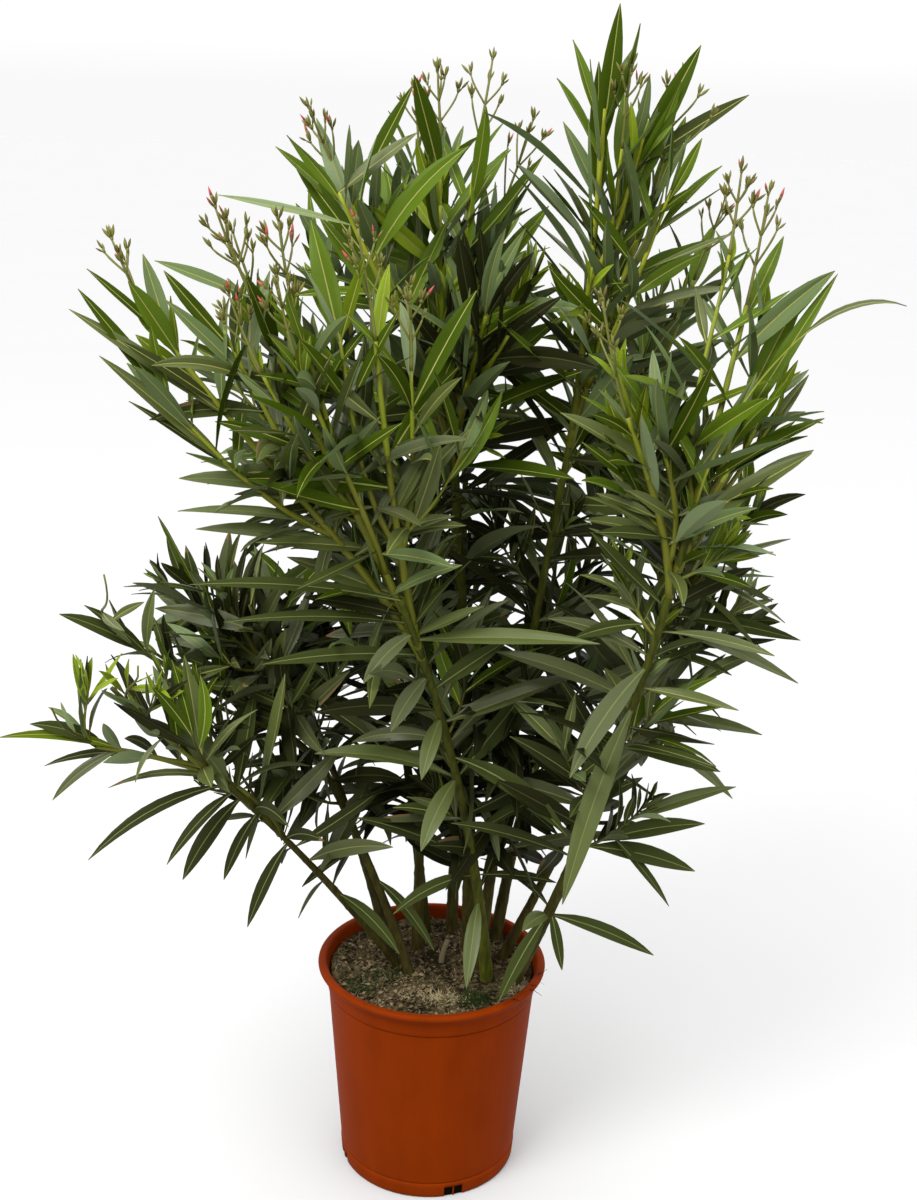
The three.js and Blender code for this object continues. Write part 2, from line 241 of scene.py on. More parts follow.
# Leaves of a mass that hang from its stem: the height at which each leaves the stem, the heading,
# reach and height of its tip, its width and its finish.
HANGING_LEAVES = {
    "round_front": (
        (800, (250, 240, 760), 20, "leaf_under_old"),
        (740, (255, 200, 690), 22, "leaf_under_old"),
        (680, (265, 190, 630), 20, "leaf_mature"),
        (590, (265, 170, 530), 24, "leaf_mature"),
    ),
    "round_left_low": (
        (575, (210, 360, 510), 16, "leaf_old_dark"),
        (565, (205, 330, 470), 22, "leaf_old_dark"),
        (540, (205, 280, 460), 16, "leaf_old_dark"),
        (490, (205, 250, 390), 18, "leaf_old_dark"),
    ),
    "round_right_front": (
        (770, (300, 300, 670), 26, "leaf_under_old"),
        (720, (305, 270, 500), 28, "leaf_mature"),
    ),
}

# How the foliage changes with height above the ground: the angle between a full-grown leaf and
# its shoot, how far it droops, its tone from old (0) to young (3), and the shares of leaves that
# take painted shade, that turn their paler side up, and that have dropped.
HABIT_HEIGHTS = (0.40, 0.60, 0.85, 1.10, 1.35)
LEAF_ANGLES = (98.0, 88.0, 78.0, 62.0, 52.0)
LEAF_DROOPS = (0.45, 0.40, 0.30, 0.10, 0.06)
LEAF_TONES = (0.0, 0.3, 1.0, 1.8, 2.4)
SHADED_SHARES = (0.22, 0.16, 0.10, 0.0, 0.0)
TURNED_SHARES = (0.06, 0.08, 0.10, 0.16, 0.16)
MISSING_LOW_SHARES = (0.16, 0.0, 0.0, 0.0, 0.0)

# And the scales of the leaves' lengths, of their widths and of the distances between whorls.
LEAF_SCALES = (0.96, 1.06, 1.08, 1.04, 1.02)
LEAF_WIDTHS = (1.04, 1.08, 1.06, 1.06, 1.04)
LEAF_SPACINGS = (1.0, 1.0, 1.05, 1.35, 1.6)

# How a leaf grows with its distance below the tip of its shoot, in metres: on a shoot that is
# full-grown, and on one that is still young at its tip.
GROWTH_DISTANCES = (0.0, 0.03, 0.08, 0.15)
GROWN_SHOOT = {
    "lengths": (0.70, 0.90, 1.0, 1.0),
    "angles": (0.40, 0.66, 0.88, 1.0),
    "spacings": (0.55, 0.80, 1.0, 1.0),
}
YOUNG_SHOOT = {
    "lengths": (0.22, 0.42, 0.72, 0.95),
    "angles": (0.25, 0.45, 0.75, 1.0),
    "spacings": (0.28, 0.50, 0.80, 1.0),
}

# How single leaves vary: ranges that a factor or a measure is drawn from, and the spreads of
# others about nothing.
ANGLE_RANGE = (0.60, 1.32)
LENGTH_RANGE = (0.78, 1.10)
WIDTH_RANGE = (0.85, 1.2)
DROOP_RANGE = (-0.2, 2.0)
RECURVE_RANGE = (-0.15, 0.40)
WAVE_RANGE = (0.0, 0.0010)
FOLD_RANGE = (0.12, 0.52)
TILT_SPREAD = 0.50
TWIST_SPREAD = 0.45
SWAY_SPREAD = 0.22
TONE_SPREAD = 0.35
UNDER_AGE_TONE = 1.3  # from this tone on, a leaf has a young leaf's underside and midrib

# Shares of leaves: given painted shade in an inner mass, palest below among the young ones, and dry
# at the tip or the edge among the old ones.
INNER_SHADED_SHARE = 0.6
PALE_UNDER_SHARE = 0.22
DRY_TIP_SHARE = 0.05
DRY_EDGE_SHARE = 0.08

# Shares of leaves left out: in front of a shoot that stays in view, and below a low shoot, in the
# usual masses and in the fresh ones.
HIDING_LEAVES_OUT = 0.85
LOW_LEAVES_OUT = 0.55
FRESH_LOW_LEAVES_OUT = 0.85

# Heights in metres: below the first, some leaves that point down are left out, and above the
# second, a mass is a high one.
LOW_SHOOTS_BELOW = 0.80
HIGH_MASSES_ABOVE = 1.1

SHORT_SHOOT_POINTS = 16  # along the curve of a side shoot
SIDE_SHOOT_REACH = (0.05, 0.13)
SIDE_SHOOT_RADIUS = 0.0022
YOUNG_SHOOT_RADIUS = 0.0020
STRAY_RADIUS = 0.0016
FORK_SLIMNESS = 0.72  # a fork's radius over that of the main shoot
FORK_ROOM = 0.06  # from the tip of a fork's curve to its last leaves
SHOOT_LIFT = 0.35  # how far a main shoot turns up at its end
LEAF_ROOM = 0.110  # from the tip of a shoot to the tips of its last leaves
LOW_LEAF_ROOM = 0.055  # the same on a low mass
FORK_FLOWER_ROOM = 0.095  # from the last leaves of a fork to the top of its flower head
LEAF_CREASE = 9.0  # degrees; a blade stays smooth along its length and is creased at its midrib
SPARE_ROOM = 0.018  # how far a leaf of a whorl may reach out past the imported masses
MOST_LOST = 0.30  # the share of its length that a leaf may lose to keep to that
THIN_LEAF = 0.010  # a narrower leaf is a curled, hanging one
ROW_DROOP = 0.3  # how far the leaves of a row hang
HANGING_DROOP = 0.7

LEAF_AGES = ("old", "mature", "upper", "young")
TOP_TONES = ("leaf_shaded", *(f"leaf_{age}{dark}" for age in LEAF_AGES for dark in ("_dark", "")))
UNDER_TONES = ("leaf_shaded", "leaf_under_old", "leaf_under_young", "leaf_under_pale")
RIB_TONES = ("leaf_rib_shaded", "leaf_rib_old", "leaf_rib_young")
LEAF_MATERIALS = (*TOP_TONES, *UNDER_TONES[1:], *RIB_TONES, "leaf_dry")
BUD_MATERIALS = ("bud_green", "bud_olive", "bud_tip")


# --- what a user would change -------------------------------------------------------------------


def colour(name, description, value):
    return FloatVectorProperty(
        name=name, description=description, subtype="COLOR", size=3, min=0.0, max=1.0, default=value
    )


def length(name, description, value):
    return FloatProperty(name=name, description=description, unit="LENGTH", min=0.0, default=value)


class OleanderSizes(bpy.types.PropertyGroup):
    leaf_length: length("Leaf length", "Length of a full-grown leaf", 0.150)
    leaf_slimness: FloatProperty(
        name="Leaf slimness", description="Width of a leaf over its length", default=0.138
    )
    internode: length("Internode", "Distance between two whorls of leaves", 0.030)
    leafy_height: length("Leafy height", "Height above the ground where foliage begins", 0.400)
    twig_radius: length("Twig radius", "Radius of a green shoot where it leaves its stem", 0.0050)
    bud_length: length("Bud length", "Length of a closed flower bud", 0.012)
    stem_slimness: FloatProperty(
        name="Stem slimness", description="Bark's radius over that of the plain stem", default=0.72
    )
    leaf_sections: IntProperty(name="Leaf sections", description="Steps along a leaf", default=9)


class OleanderColours(bpy.types.PropertyGroup):
    leaf_old: colour("Old leaf", "Lowest leaves, upper side", (0.0275, 0.0330, 0.0105))
    leaf_mature: colour("Mature leaf", "Leaves at mid height, upper side", (0.0360, 0.0470, 0.0115))
    leaf_upper: colour("Upper leaf", "Leaves of the top shoots, upper side", (0.036, 0.062, 0.003))
    leaf_young: colour("Young leaf", "Leaves at the tips of shoots", (0.085, 0.125, 0.005))
    leaf_under: colour("Leaf underside", "Paler side of a leaf", (0.100, 0.130, 0.062))
    leaf_rib: colour("Midrib", "Pale line down the middle of a leaf", (0.150, 0.170, 0.050))
    leaf_dry: colour("Dry tip", "Scorched tip or edge of an old leaf", (0.095, 0.066, 0.028))
    shoot: colour("Green shoot", "Bark of this year's shoots", (0.125, 0.145, 0.006))
    bark_low: colour("Bark at the foot", "Woody bark near the soil", (0.032, 0.026, 0.005))
    bark_middle: colour("Bark higher up", "Green-brown bark", (0.024, 0.024, 0.003))
    bark_high: colour("Bark below the shoots", "Green bark", (0.036, 0.042, 0.004))
    bud: colour("Flower bud", "Green bud and its stalk", (0.100, 0.102, 0.018))
    bud_tip: colour("Bud tip", "Petals that show at a bud's tip", (0.270, 0.045, 0.036))
    pot: colour("Pot", "Terracotta-coloured plastic", (0.124, 0.0152, 0.0002))
    soil: colour("Soil", "Potting soil", (0.056, 0.041, 0.018))
    grit: colour("Grit", "Pale dry pellets on the soil", (0.160, 0.118, 0.064))
    # Moist soil and painted shade: it darkens the hollows of the soil's fine bump, and near black it
    # fills the drainage notches.
    soil_dark: colour("Damp soil", "Damp soil in the hollows", (0.010, 0.007, 0.003))
    moss: colour("Moss", "Green moss on the soil", (0.028, 0.044, 0.004))
    straw: colour("Straw", "Dry moss, straw and roots on the soil", (0.290, 0.235, 0.125))
    floor: colour("Floor", "Plain studio floor", (0.390, 0.390, 0.390))


def sizes():
    return bpy.context.scene.oleander_sizes


def colours():
    return bpy.context.scene.oleander_colours


# --- vectors and curves -------------------------------------------------------------------------


def unit(vector):
    return vector / np.maximum(np.linalg.norm(vector, axis=-1, keepdims=True), 1e-12)


def square_to(vector, axis):
    """The part of each vector that is square to its axis, made one long."""
    along = np.sum(vector * axis, axis=-1, keepdims=True)
    return unit(vector - along * axis)


def turned(vector, axis, angle):
    """Vectors turned about axes that they are square to."""
    angle = np.asarray(angle)[..., None]
    return vector * np.cos(angle) + np.cross(axis, vector) * np.sin(angle)


def sideways(axis, angle, start=(1.0, 0.3, 0.2)):
    """A direction square to an axis, at an angle about it from the side that the start lies on."""
    return turned(square_to(np.array(start), axis), axis, angle)


def read_along(line, own, places):
    """A line's points where a measure that grows along it, its own, has the given values."""
    return np.stack([np.interp(places, own, line[:, k]) for k in range(3)], axis=-1)


def smooth_line(points, count):
    """A Catmull-Rom curve through the points, resampled at even distances."""
    points = np.asarray(points, float)
    padded = np.vstack([2 * points[0] - points[1], points, 2 * points[-1] - points[-2]])
    t = np.linspace(0, 1, 12, endpoint=False)[:, None]
    pieces = []
    for a, b, c, d in zip(padded, padded[1:], padded[2:], padded[3:]):
        cubic = -a + 3 * b - 3 * c + d
        square = 2 * a - 5 * b + 4 * c - d
        pieces.append(0.5 * (2 * b + (c - a) * t + square * t**2 + cubic * t**3))
    return resampled(np.vstack([*pieces, points[-1:]]), count)


def resampled(line, count):
    far = np.concatenate([[0], np.cumsum(np.linalg.norm(np.diff(line, axis=0), axis=1))])
    return read_along(line, far, np.linspace(0, far[-1], count))


def line_length(line):
    return float(np.sum(np.linalg.norm(np.diff(line, axis=0), axis=1)))


def cut_line(line, start, end):
    """The stretch of a line between two distances along it."""
    total = line_length(line)
    places = np.linspace(max(0.0, start) / total, min(end, total) / total, len(line))
    return read_along(line, np.linspace(0, 1, len(line)), places)


def bezier(start, start_aim, end, end_aim, count=40):
    """A cubic curve whose handles are a third of the way between its ends."""
    third = np.linalg.norm(end - start) / 3
    handles = (start + start_aim * third, end - end_aim * third)
    t = np.linspace(0, 1, count)[:, None]
    near = (1 - t) ** 3 * start + 3 * t * (1 - t) ** 2 * handles[0]
    far = 3 * t**2 * (1 - t) * handles[1] + t**3 * end
    return resampled(near + far, count)


def directions(line):
    return unit(np.gradient(line, axis=0))


def even_turns(count):
    """Angles evenly round a full turn."""
    return np.linspace(0, FULL_TURN, count, endpoint=False)


def spokes(line, sides):
    """Directions out from each point of a line, evenly round it, that turn along it as little as
    they can."""
    along = directions(line)
    right = np.zeros_like(along)
    start = np.array((0.0, 1.0, 0.0)) if abs(along[0, 1]) < 0.9 else np.array((1.0, 0.0, 0.0))
    right[0] = square_to(start, along[0])
    for i in range(1, len(line)):
        right[i] = square_to(right[i - 1], along[i])
    turn = even_turns(sides)[:, None]
    return right[:, None] * np.cos(turn) + np.cross(along, right)[:, None] * np.sin(turn)


# --- meshes -------------------------------------------------------------------------------------


class Patchwork:
    """Vertices and faces that many small shapes are gathered in, to become one joined mesh."""

    def __init__(self):
        self.vertices = []
        self.faces = []
        self.slots = []
        self.count = 0

    def add(self, vertices, faces, slots=0):
        """Adds a shape. The faces are an array of rows of equal length, numbered from the shape."""
        vertices = np.asarray(vertices, float).reshape(-1, 3)
        faces = np.asarray(faces, int)
        self.faces.append(faces + self.count)
        self.slots.append(np.broadcast_to(np.asarray(slots, int), (len(faces),)))
        self.vertices.append(vertices)
        self.count += len(vertices)

    def mesh(self, name):
        mesh = bpy.data.meshes.new(name)
        vertices = np.concatenate(self.vertices).astype(np.float32)
        corners = np.concatenate([faces.ravel() for faces in self.faces]).astype(np.int32)
        widths = np.concatenate([np.full(len(faces), faces.shape[1]) for faces in self.faces])
        starts = np.concatenate([[0], np.cumsum(widths)[:-1]]).astype(np.int32)
        mesh.vertices.add(len(vertices))
        mesh.vertices.foreach_set("co", vertices.ravel())
        mesh.loops.add(len(corners))
        mesh.loops.foreach_set("vertex_index", corners)
        mesh.polygons.add(len(starts))
        mesh.polygons.foreach_set("loop_start", starts)
        mesh.polygons.foreach_set("material_index", np.concatenate(self.slots).astype(np.int32))
        mesh.update(calc_edges=True)
        mesh.validate()
        return mesh


def make_piece(patchwork, name, materials, replaced=(), crease=60.0):
    """A joined piece that rides on the plant's one body and takes its finish from a slot."""
    mesh = patchwork.mesh(name)
    for material in materials:
        mesh.materials.append(material)
    mesh.shade_smooth()
    mesh.set_sharp_from_angle(angle=math.radians(crease))
    piece = bpy.data.objects.new(name, mesh)
    bpy.context.scene.collection.objects.link(piece)
    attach(piece, BODY)
    if replaced:
        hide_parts(*replaced)
    return piece


def add_tube(patchwork, line, radii, sides, slot=0):
    """A closed tube along a line, with a radius at each of its points."""
    radii = np.asarray(radii, float)[:, None, None]
    add_rings(patchwork, line[:, None] + spokes(line, sides) * radii, slot)


def add_rings(patchwork, rings, slot=0):
    """A closed skin over rings of equally many points, with a flat face at both ends."""
    count, sides = rings.shape[:2]
    here = np.arange(sides)
    there = (here + 1) % sides
    quads = np.stack([here, there, there + sides, here + sides], axis=1)
    offsets = (np.arange(count - 1) * sides)[:, None, None]
    base = patchwork.count
    slots = np.broadcast_to(np.asarray(slot, int), (count - 1,))
    patchwork.add(rings, (quads + offsets).reshape(-1, 4), np.repeat(slots, sides))
    ends = np.stack([here[::-1], here + (count - 1) * sides])
    patchwork.faces.append(ends + base)
    patchwork.slots.append(slots[[0, -1]])


# --- materials ----------------------------------------------------------------------------------


def plain_material(name, base, roughness, gloss=0.2):
    """A finish of one colour, set on the shader's own sockets."""
    material = bpy.data.materials.new(name)
    material.use_nodes = True
    shader = material.node_tree.nodes["Principled BSDF"]
    shader.inputs["Base Color"].default_value = (*base, 1.0)
    shader.inputs["Roughness"].default_value = roughness
    shader.inputs["Specular IOR Level"].default_value = gloss
    return material


def shade(base, factor, warmth=0.0):
    """A colour made lighter or darker, and warmer or cooler."""
    red, green, blue = (channel * factor for channel in base)
    return (min(1.0, red * (1 + warmth)), min(1.0, green), min(1.0, blue * (1 - warmth)))


def blend(first, second, share):
    """A colour between two, with a share of the second."""
    return tuple(a * (1 - share) + b * share for a, b in zip(first, second))


def leaf_materials():
    """The finishes that a leaf's faces are dealt, in the order of LEAF_MATERIALS."""
    palette = colours()
    # leaf_shaded and leaf_rib_shaded are painted shade: near-black olive for leaves deep in the crown.
    made = {"leaf_shaded": (shade(palette.leaf_old, 0.36, 0.1), 0.5, 0.02)}
    for age in LEAF_AGES:
        base = getattr(palette, f"leaf_{age}")
        gloss = 0.18 if age in ("old", "mature") else 0.06
        made[f"leaf_{age}_dark"] = (shade(base, 0.68, 0.02), 0.45, 0.015)
        made[f"leaf_{age}"] = (shade(base, 1.35, 0.04), 0.40, gloss)
    under = palette.leaf_under
    fresh = blend(under, palette.leaf_upper, 0.45)
    rib = palette.leaf_rib
    made["leaf_under_old"] = (shade(under, 0.50, 0.10), 0.6, 0.05)
    made["leaf_under_young"] = (fresh, 0.55, 0.04)
    made["leaf_under_pale"] = (shade(under, 1.15), 0.6, 0.05)
    made["leaf_rib_shaded"] = (shade(rib, 0.22), 0.5, 0.06)
    made["leaf_rib_old"] = (shade(rib, 0.62), 0.5, 0.10)
    made["leaf_rib_young"] = (shade(rib, 1.0, 0.15), 0.48, 0.10)
    made["leaf_dry"] = (palette.leaf_dry, 0.8, 0.08)
    return [plain_material(name, *made[name]) for name in LEAF_MATERIALS]


class Nodes:
    """A short way to write a procedural material's node tree."""

    def __init__(self, name):
        self.material = bpy.data.materials.new(name)
        self.material.use_nodes = True
        self.tree = self.material.node_tree
        self.shader = self.tree.nodes["Principled BSDF"]
        self.shader.inputs["Specular IOR Level"].default_value = 0.06

    def node(self, kind, **settings):
        made = self.tree.nodes.new(kind)
        for key, value in settings.items():
            if hasattr(made, key):
                setattr(made, key, value)
            else:
                made.inputs[key.replace("_", " ")].default_value = value
        return made

    def link(self, source, target):
        self.tree.links.new(source, target)

    def place(self, scale=(1, 1, 1)):
        """Coordinates of the object itself, stretched by a scale."""
        where = self.node("ShaderNodeTexCoord")
        mapping = self.node("ShaderNodeMapping")
        mapping.inputs["Scale"].default_value = scale
        self.link(where.outputs["Object"], mapping.inputs["Vector"])
        return mapping.outputs["Vector"]

    def noise(self, place, scale, detail=4.0, roughness=0.55):
        made = self.node("ShaderNodeTexNoise", Scale=scale, Detail=detail, Roughness=roughness)
        self.link(place, made.inputs["Vector"])
        return made.outputs["Fac"]

    def ramp(self, source, stops):
        """A colour for each value of the source, from (value, colour) stops."""
        made = self.node("ShaderNodeValToRGB")
        elements = made.color_ramp.elements
        while len(elements) < len(stops):
            elements.new(0.5)
        for element, (position, value) in zip(elements, stops):
            element.position = position
            element.color = (*value, 1.0)
        self.link(source, made.inputs["Fac"])
        return made.outputs["Color"]

    def mix(self, factor, first, second):
        """The second colour over the first, by a factor."""
        made = self.node("ShaderNodeMix", data_type="RGBA")
        self.link(factor, made.inputs[0])
        self.link(first, made.inputs[6])
        self.link(second, made.inputs[7])
        return made.outputs[2]

    def bump(self, source, distance, strength=1.0):
        made = self.node("ShaderNodeBump", Distance=distance, Strength=strength)
        self.link(source, made.inputs["Height"])
        self.link(made.outputs["Normal"], self.shader.inputs["Normal"])

    def roughness(self, source, low, high):
        made = self.node("ShaderNodeMapRange")
        made.inputs["To Min"].default_value = low
        made.inputs["To Max"].default_value = high
        self.link(source, made.inputs["Value"])
        self.link(made.outputs["Result"], self.shader.inputs["Roughness"])


def pot_material():
    """Moulded plastic, faintly streaked down the wall, with a fine skin and a little dust."""
    nodes = Nodes("pot_plastic_moulded")
    base = colours().pot
    streaks = nodes.noise(nodes.place((9.0, 9.0, 1.4)), 4.0, 3.0)
    clouds = nodes.noise(nodes.place(), 14.0, 5.0)
    body = nodes.ramp(streaks, [(0.30, shade(base, 0.86)), (0.70, shade(base, 1.12, 0.02))])
    worn = nodes.ramp(clouds, [(0.35, shade(base, 0.90)), (0.75, shade(base, 1.15, 0.02))])
    half = nodes.node("ShaderNodeValue")
    half.outputs[0].default_value = 0.45
    nodes.link(nodes.mix(half.outputs[0], body, worn), nodes.shader.inputs["Base Color"])
    nodes.shader.inputs["Specular IOR Level"].default_value = 0.015
    grain = nodes.noise(nodes.place(), 900.0, 2.0)
    nodes.bump(grain, 0.00012, 0.35)
    nodes.roughness(clouds, 0.42, 0.58)
    return nodes.material


def bark_material(name, foot, middle, top):
    """Bark that is brown and woody at the foot and greener higher up, with pale flecks."""
    nodes = Nodes(name)
    where = nodes.node("ShaderNodeTexCoord")
    parts = nodes.node("ShaderNodeSeparateXYZ")
    nodes.link(where.outputs["Object"], parts.inputs["Vector"])
    by_height = [(0.30, foot), (0.55, middle), (0.95, top)]
    flecks = nodes.noise(nodes.place((1, 1, 0.25)), 160.0, 5.0)
    woody = nodes.ramp(parts.outputs["Z"], [(z, shade(tone, 0.6)) for z, tone in by_height])
    fresh = nodes.ramp(parts.outputs["Z"], [(z, shade(tone, 1.35)) for z, tone in by_height])
    patches = nodes.ramp(flecks, [(0.35, (0, 0, 0)), (0.65, (1, 1, 1))])
    nodes.link(nodes.mix(patches, woody, fresh), nodes.shader.inputs["Base Color"])
    nodes.bump(flecks, 0.0006, 0.7)
    nodes.roughness(flecks, 0.55, 0.85)
    return nodes.material


def soil_material():
    """Grey-brown soil, dark in moist patches, painted shade in its hollows, pale where grit and fibre
    lie.
    """
    nodes = Nodes("potting_soil_grit")
    dry = colours().soil
    damp_and_shade_tone = colours().soil_dark
    fine = nodes.noise(nodes.place(), 420.0, 6.0, 0.7)
    broad = nodes.noise(nodes.place(), 38.0, 4.0)
    # Dark in the hollows of the fine bump and pale on its rises: painted shade, over moist soil and grit.
    grit = nodes.ramp(fine, [(0.32, shade(damp_and_shade_tone, 0.8)), (0.52, dry), (0.72, shade(dry, 2.3))])
    damp_and_shade = nodes.ramp(fine, [(0.35, shade(damp_and_shade_tone, 0.5)), (0.70, shade(damp_and_shade_tone, 2.0))])
    patch = nodes.ramp(broad, [(0.44, (0, 0, 0)), (0.54, (1, 1, 1))])
    nodes.link(nodes.mix(patch, damp_and_shade, grit), nodes.shader.inputs["Base Color"])
    nodes.bump(fine, 0.0018, 0.9)
    nodes.shader.inputs["Roughness"].default_value = 0.95
    return nodes.material


# --- reading the frame --------------------------------------------------------------------------


def node_points(name):
    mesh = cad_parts[name].data
    points = np.zeros(len(mesh.vertices) * 3)
    mesh.vertices.foreach_get("co", points)
    return points.reshape(-1, 3)


def section(name, height):
    """The centre and mean radius of a node's cut at a height."""
    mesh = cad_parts[name].data
    points = node_points(name)
    ends = np.zeros(len(mesh.edges) * 2, int)
    mesh.edges.foreach_get("vertices", ends)
    a, b = points[ends.reshape(-1, 2)].transpose(1, 0, 2)
    crossing = (a[:, 2] - height) * (b[:, 2] - height) < 0
    a, b = a[crossing], b[crossing]
    t = ((height - a[:, 2]) / (b[:, 2] - a[:, 2]))[:, None]
    ring = a + (b - a) * t
    centre = (ring.min(axis=0) + ring.max(axis=0)) / 2
    return centre, float(np.mean(np.linalg.norm(ring[:, :2] - centre[:2], axis=1)))


@dataclass
class Stem:
    """A stem's middle line from its foot to its head, and its radius along it."""

    line: np.ndarray
    radii: np.ndarray

    @property
    def head(self):
        return self.line[-1]

    @property
    def aim(self):
        return unit(self.line[-1] - self.line[-4])

    def below_head(self, distance):
        """The same stem cut off at a distance below its head."""
        total = line_length(self.line)
        return Stem(cut_line(self.line, 0, total - distance), self.radii)


def read_stem(name):
    points = node_points(name)
    low, high = points[:, 2].min(), points[:, 2].max()
    top = points[np.argmax(points[:, 2])]
    near = points[np.linalg.norm(points - top, axis=1) < 0.018]
    head = (near.min(axis=0) + near.max(axis=0)) / 2
    heights = low + (high - low) * np.array((0.004, 0.06, 0.18, 0.32, 0.46, 0.60, 0.74, 0.88, 0.97))
    cuts = [section(name, height) for height in heights]
    centres = np.array([centre for centre, _ in cuts] + [head])
    radii = [radius for _, radius in cuts]
    line = smooth_line(centres, 80)
    return Stem(line, np.interp(line[:, 2], heights, radii))


# --- growing the shoots -------------------------------------------------------------------------


@dataclass
class Shoot:
    """A leafy shoot of a mass of foliage, from where its leaves begin to its tip."""

    mass: str
    line: np.ndarray
    radius: float
    on_stem: bool = False
    main: bool = False
    flowers: float = 0.0
    young: bool = False
    scale: float = 1.0
    tone: float = 0.0
    spacing: float = 1.0
    gaps: float = 0.06
    first: float = 0.030
    spread: float = 1.0


def mass_names():
    """The masses of foliage, by their names without the prefix that their nodes have."""
    return sorted(n.removeprefix(MASS_PREFIX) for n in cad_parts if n.startswith(MASS_PREFIX))


def mass_points(mass):
    return node_points(MASS_PREFIX + mass)


def habit_of(mass):
    return HABITS.get(mass, USUAL_HABIT)


def side_shoots(mass, line, places, rng):
    """Short leafy side shoots that leave a line at the given places along it."""
    shoots = []
    turn = rng.uniform(0, FULL_TURN)
    for place in places:
        at = int(place)
        along = directions(line)[at]
        turn += GOLDEN_TURN + rng.normal(0, 0.3)
        side = sideways(along, turn)
        if habit_of(mass).open_front:
            side = side * (1.0, np.sign(side[1]), 1.0)
        reach = rng.uniform(*SIDE_SHOOT_REACH)
        end = line[at] + unit(along * 0.7 + side * 0.8 + UP * 0.2) * reach
        end_aim = unit(UP * 0.6 + side * 0.45 + along * 0.4)
        shoot = Shoot(
            mass,
            bezier(line[at], unit(along * 0.5 + side), end, end_aim, SHORT_SHOOT_POINTS),
            SIDE_SHOOT_RADIUS,
            scale=rng.uniform(0.55, 0.95),
            tone=rng.uniform(0.0, 0.9),
            young=rng.random() < 0.5,
            spacing=0.66,
            first=0.022,
        )
        shoots.append(shoot)
    return shoots


def sleeve_shoots(mass, stem, rng):
    """The leafy part of a stem itself, up to its head, and the short side shoots along it."""
    first = int(np.argmax(stem.line[:, 2] > sizes().leafy_height))
    line = stem.line[first:]
    radius = float(stem.radii[first])
    sleeve = Shoot(mass, line, radius, on_stem=True, main=True, gaps=0.14, first=0.010)
    heights = np.arange(0.50, stem.head[2] - 0.05, 0.075)
    places = np.searchsorted(line[:, 2], heights).clip(0, len(line) - 1)
    return [sleeve, *side_shoots(mass, line, places, rng)]


def mass_tip(mass, stem):
    """The point of a mass that lies furthest from its stem's head."""
    points = mass_points(mass)
    return points[np.argmax(np.linalg.norm(points - stem.head, axis=1))]


def stray_shoot(mass, stem):
    """A thin twig that ends in one long leaf, which reaches out past the crown."""
    tip = mass_tip(mass, stem)
    chord = unit(tip - stem.head)
    arch = habit_of(mass).arch
    start_aim = unit((stem.aim + chord) / 2 + arch * UP)
    whole = bezier(stem.head, start_aim, tip, unit(chord - 0.5 * arch * UP))
    line = cut_line(whole, 0, line_length(whole) - sizes().leaf_length)
    return [Shoot(mass, line, STRAY_RADIUS, gaps=1.0)]


def from_axis(heading, reach, height):
    """A point given by its heading in degrees, and its reach and height in millimetres."""
    turn = math.radians(heading)
    return np.array((math.cos(turn) * reach, math.sin(turn) * reach, height)) / 1000


def young_shoots(mass, main):
    """The short young shoots listed for a mass, each from the nearest part of its main shoot."""
    shoots = []
    for tip, scale in YOUNG_SHOOTS.get(mass, ()):
        end = from_axis(*tip)
        at = int(np.argmin(np.linalg.norm(main - (end - UP * 0.06), axis=1)))
        start, along = main[at], directions(main)[at]
        shoot = Shoot(
            mass,
            bezier(start, unit(along + UP * 0.6), end, unit(UP + along * 0.3), SHORT_SHOOT_POINTS),
            YOUNG_SHOOT_RADIUS,
            young=True,
            scale=scale,
            tone=2.6,
            spacing=0.60,
            first=0.020,
            spread=0.62,
            gaps=0.20,
        )
        shoots.append(shoot)
    return shoots


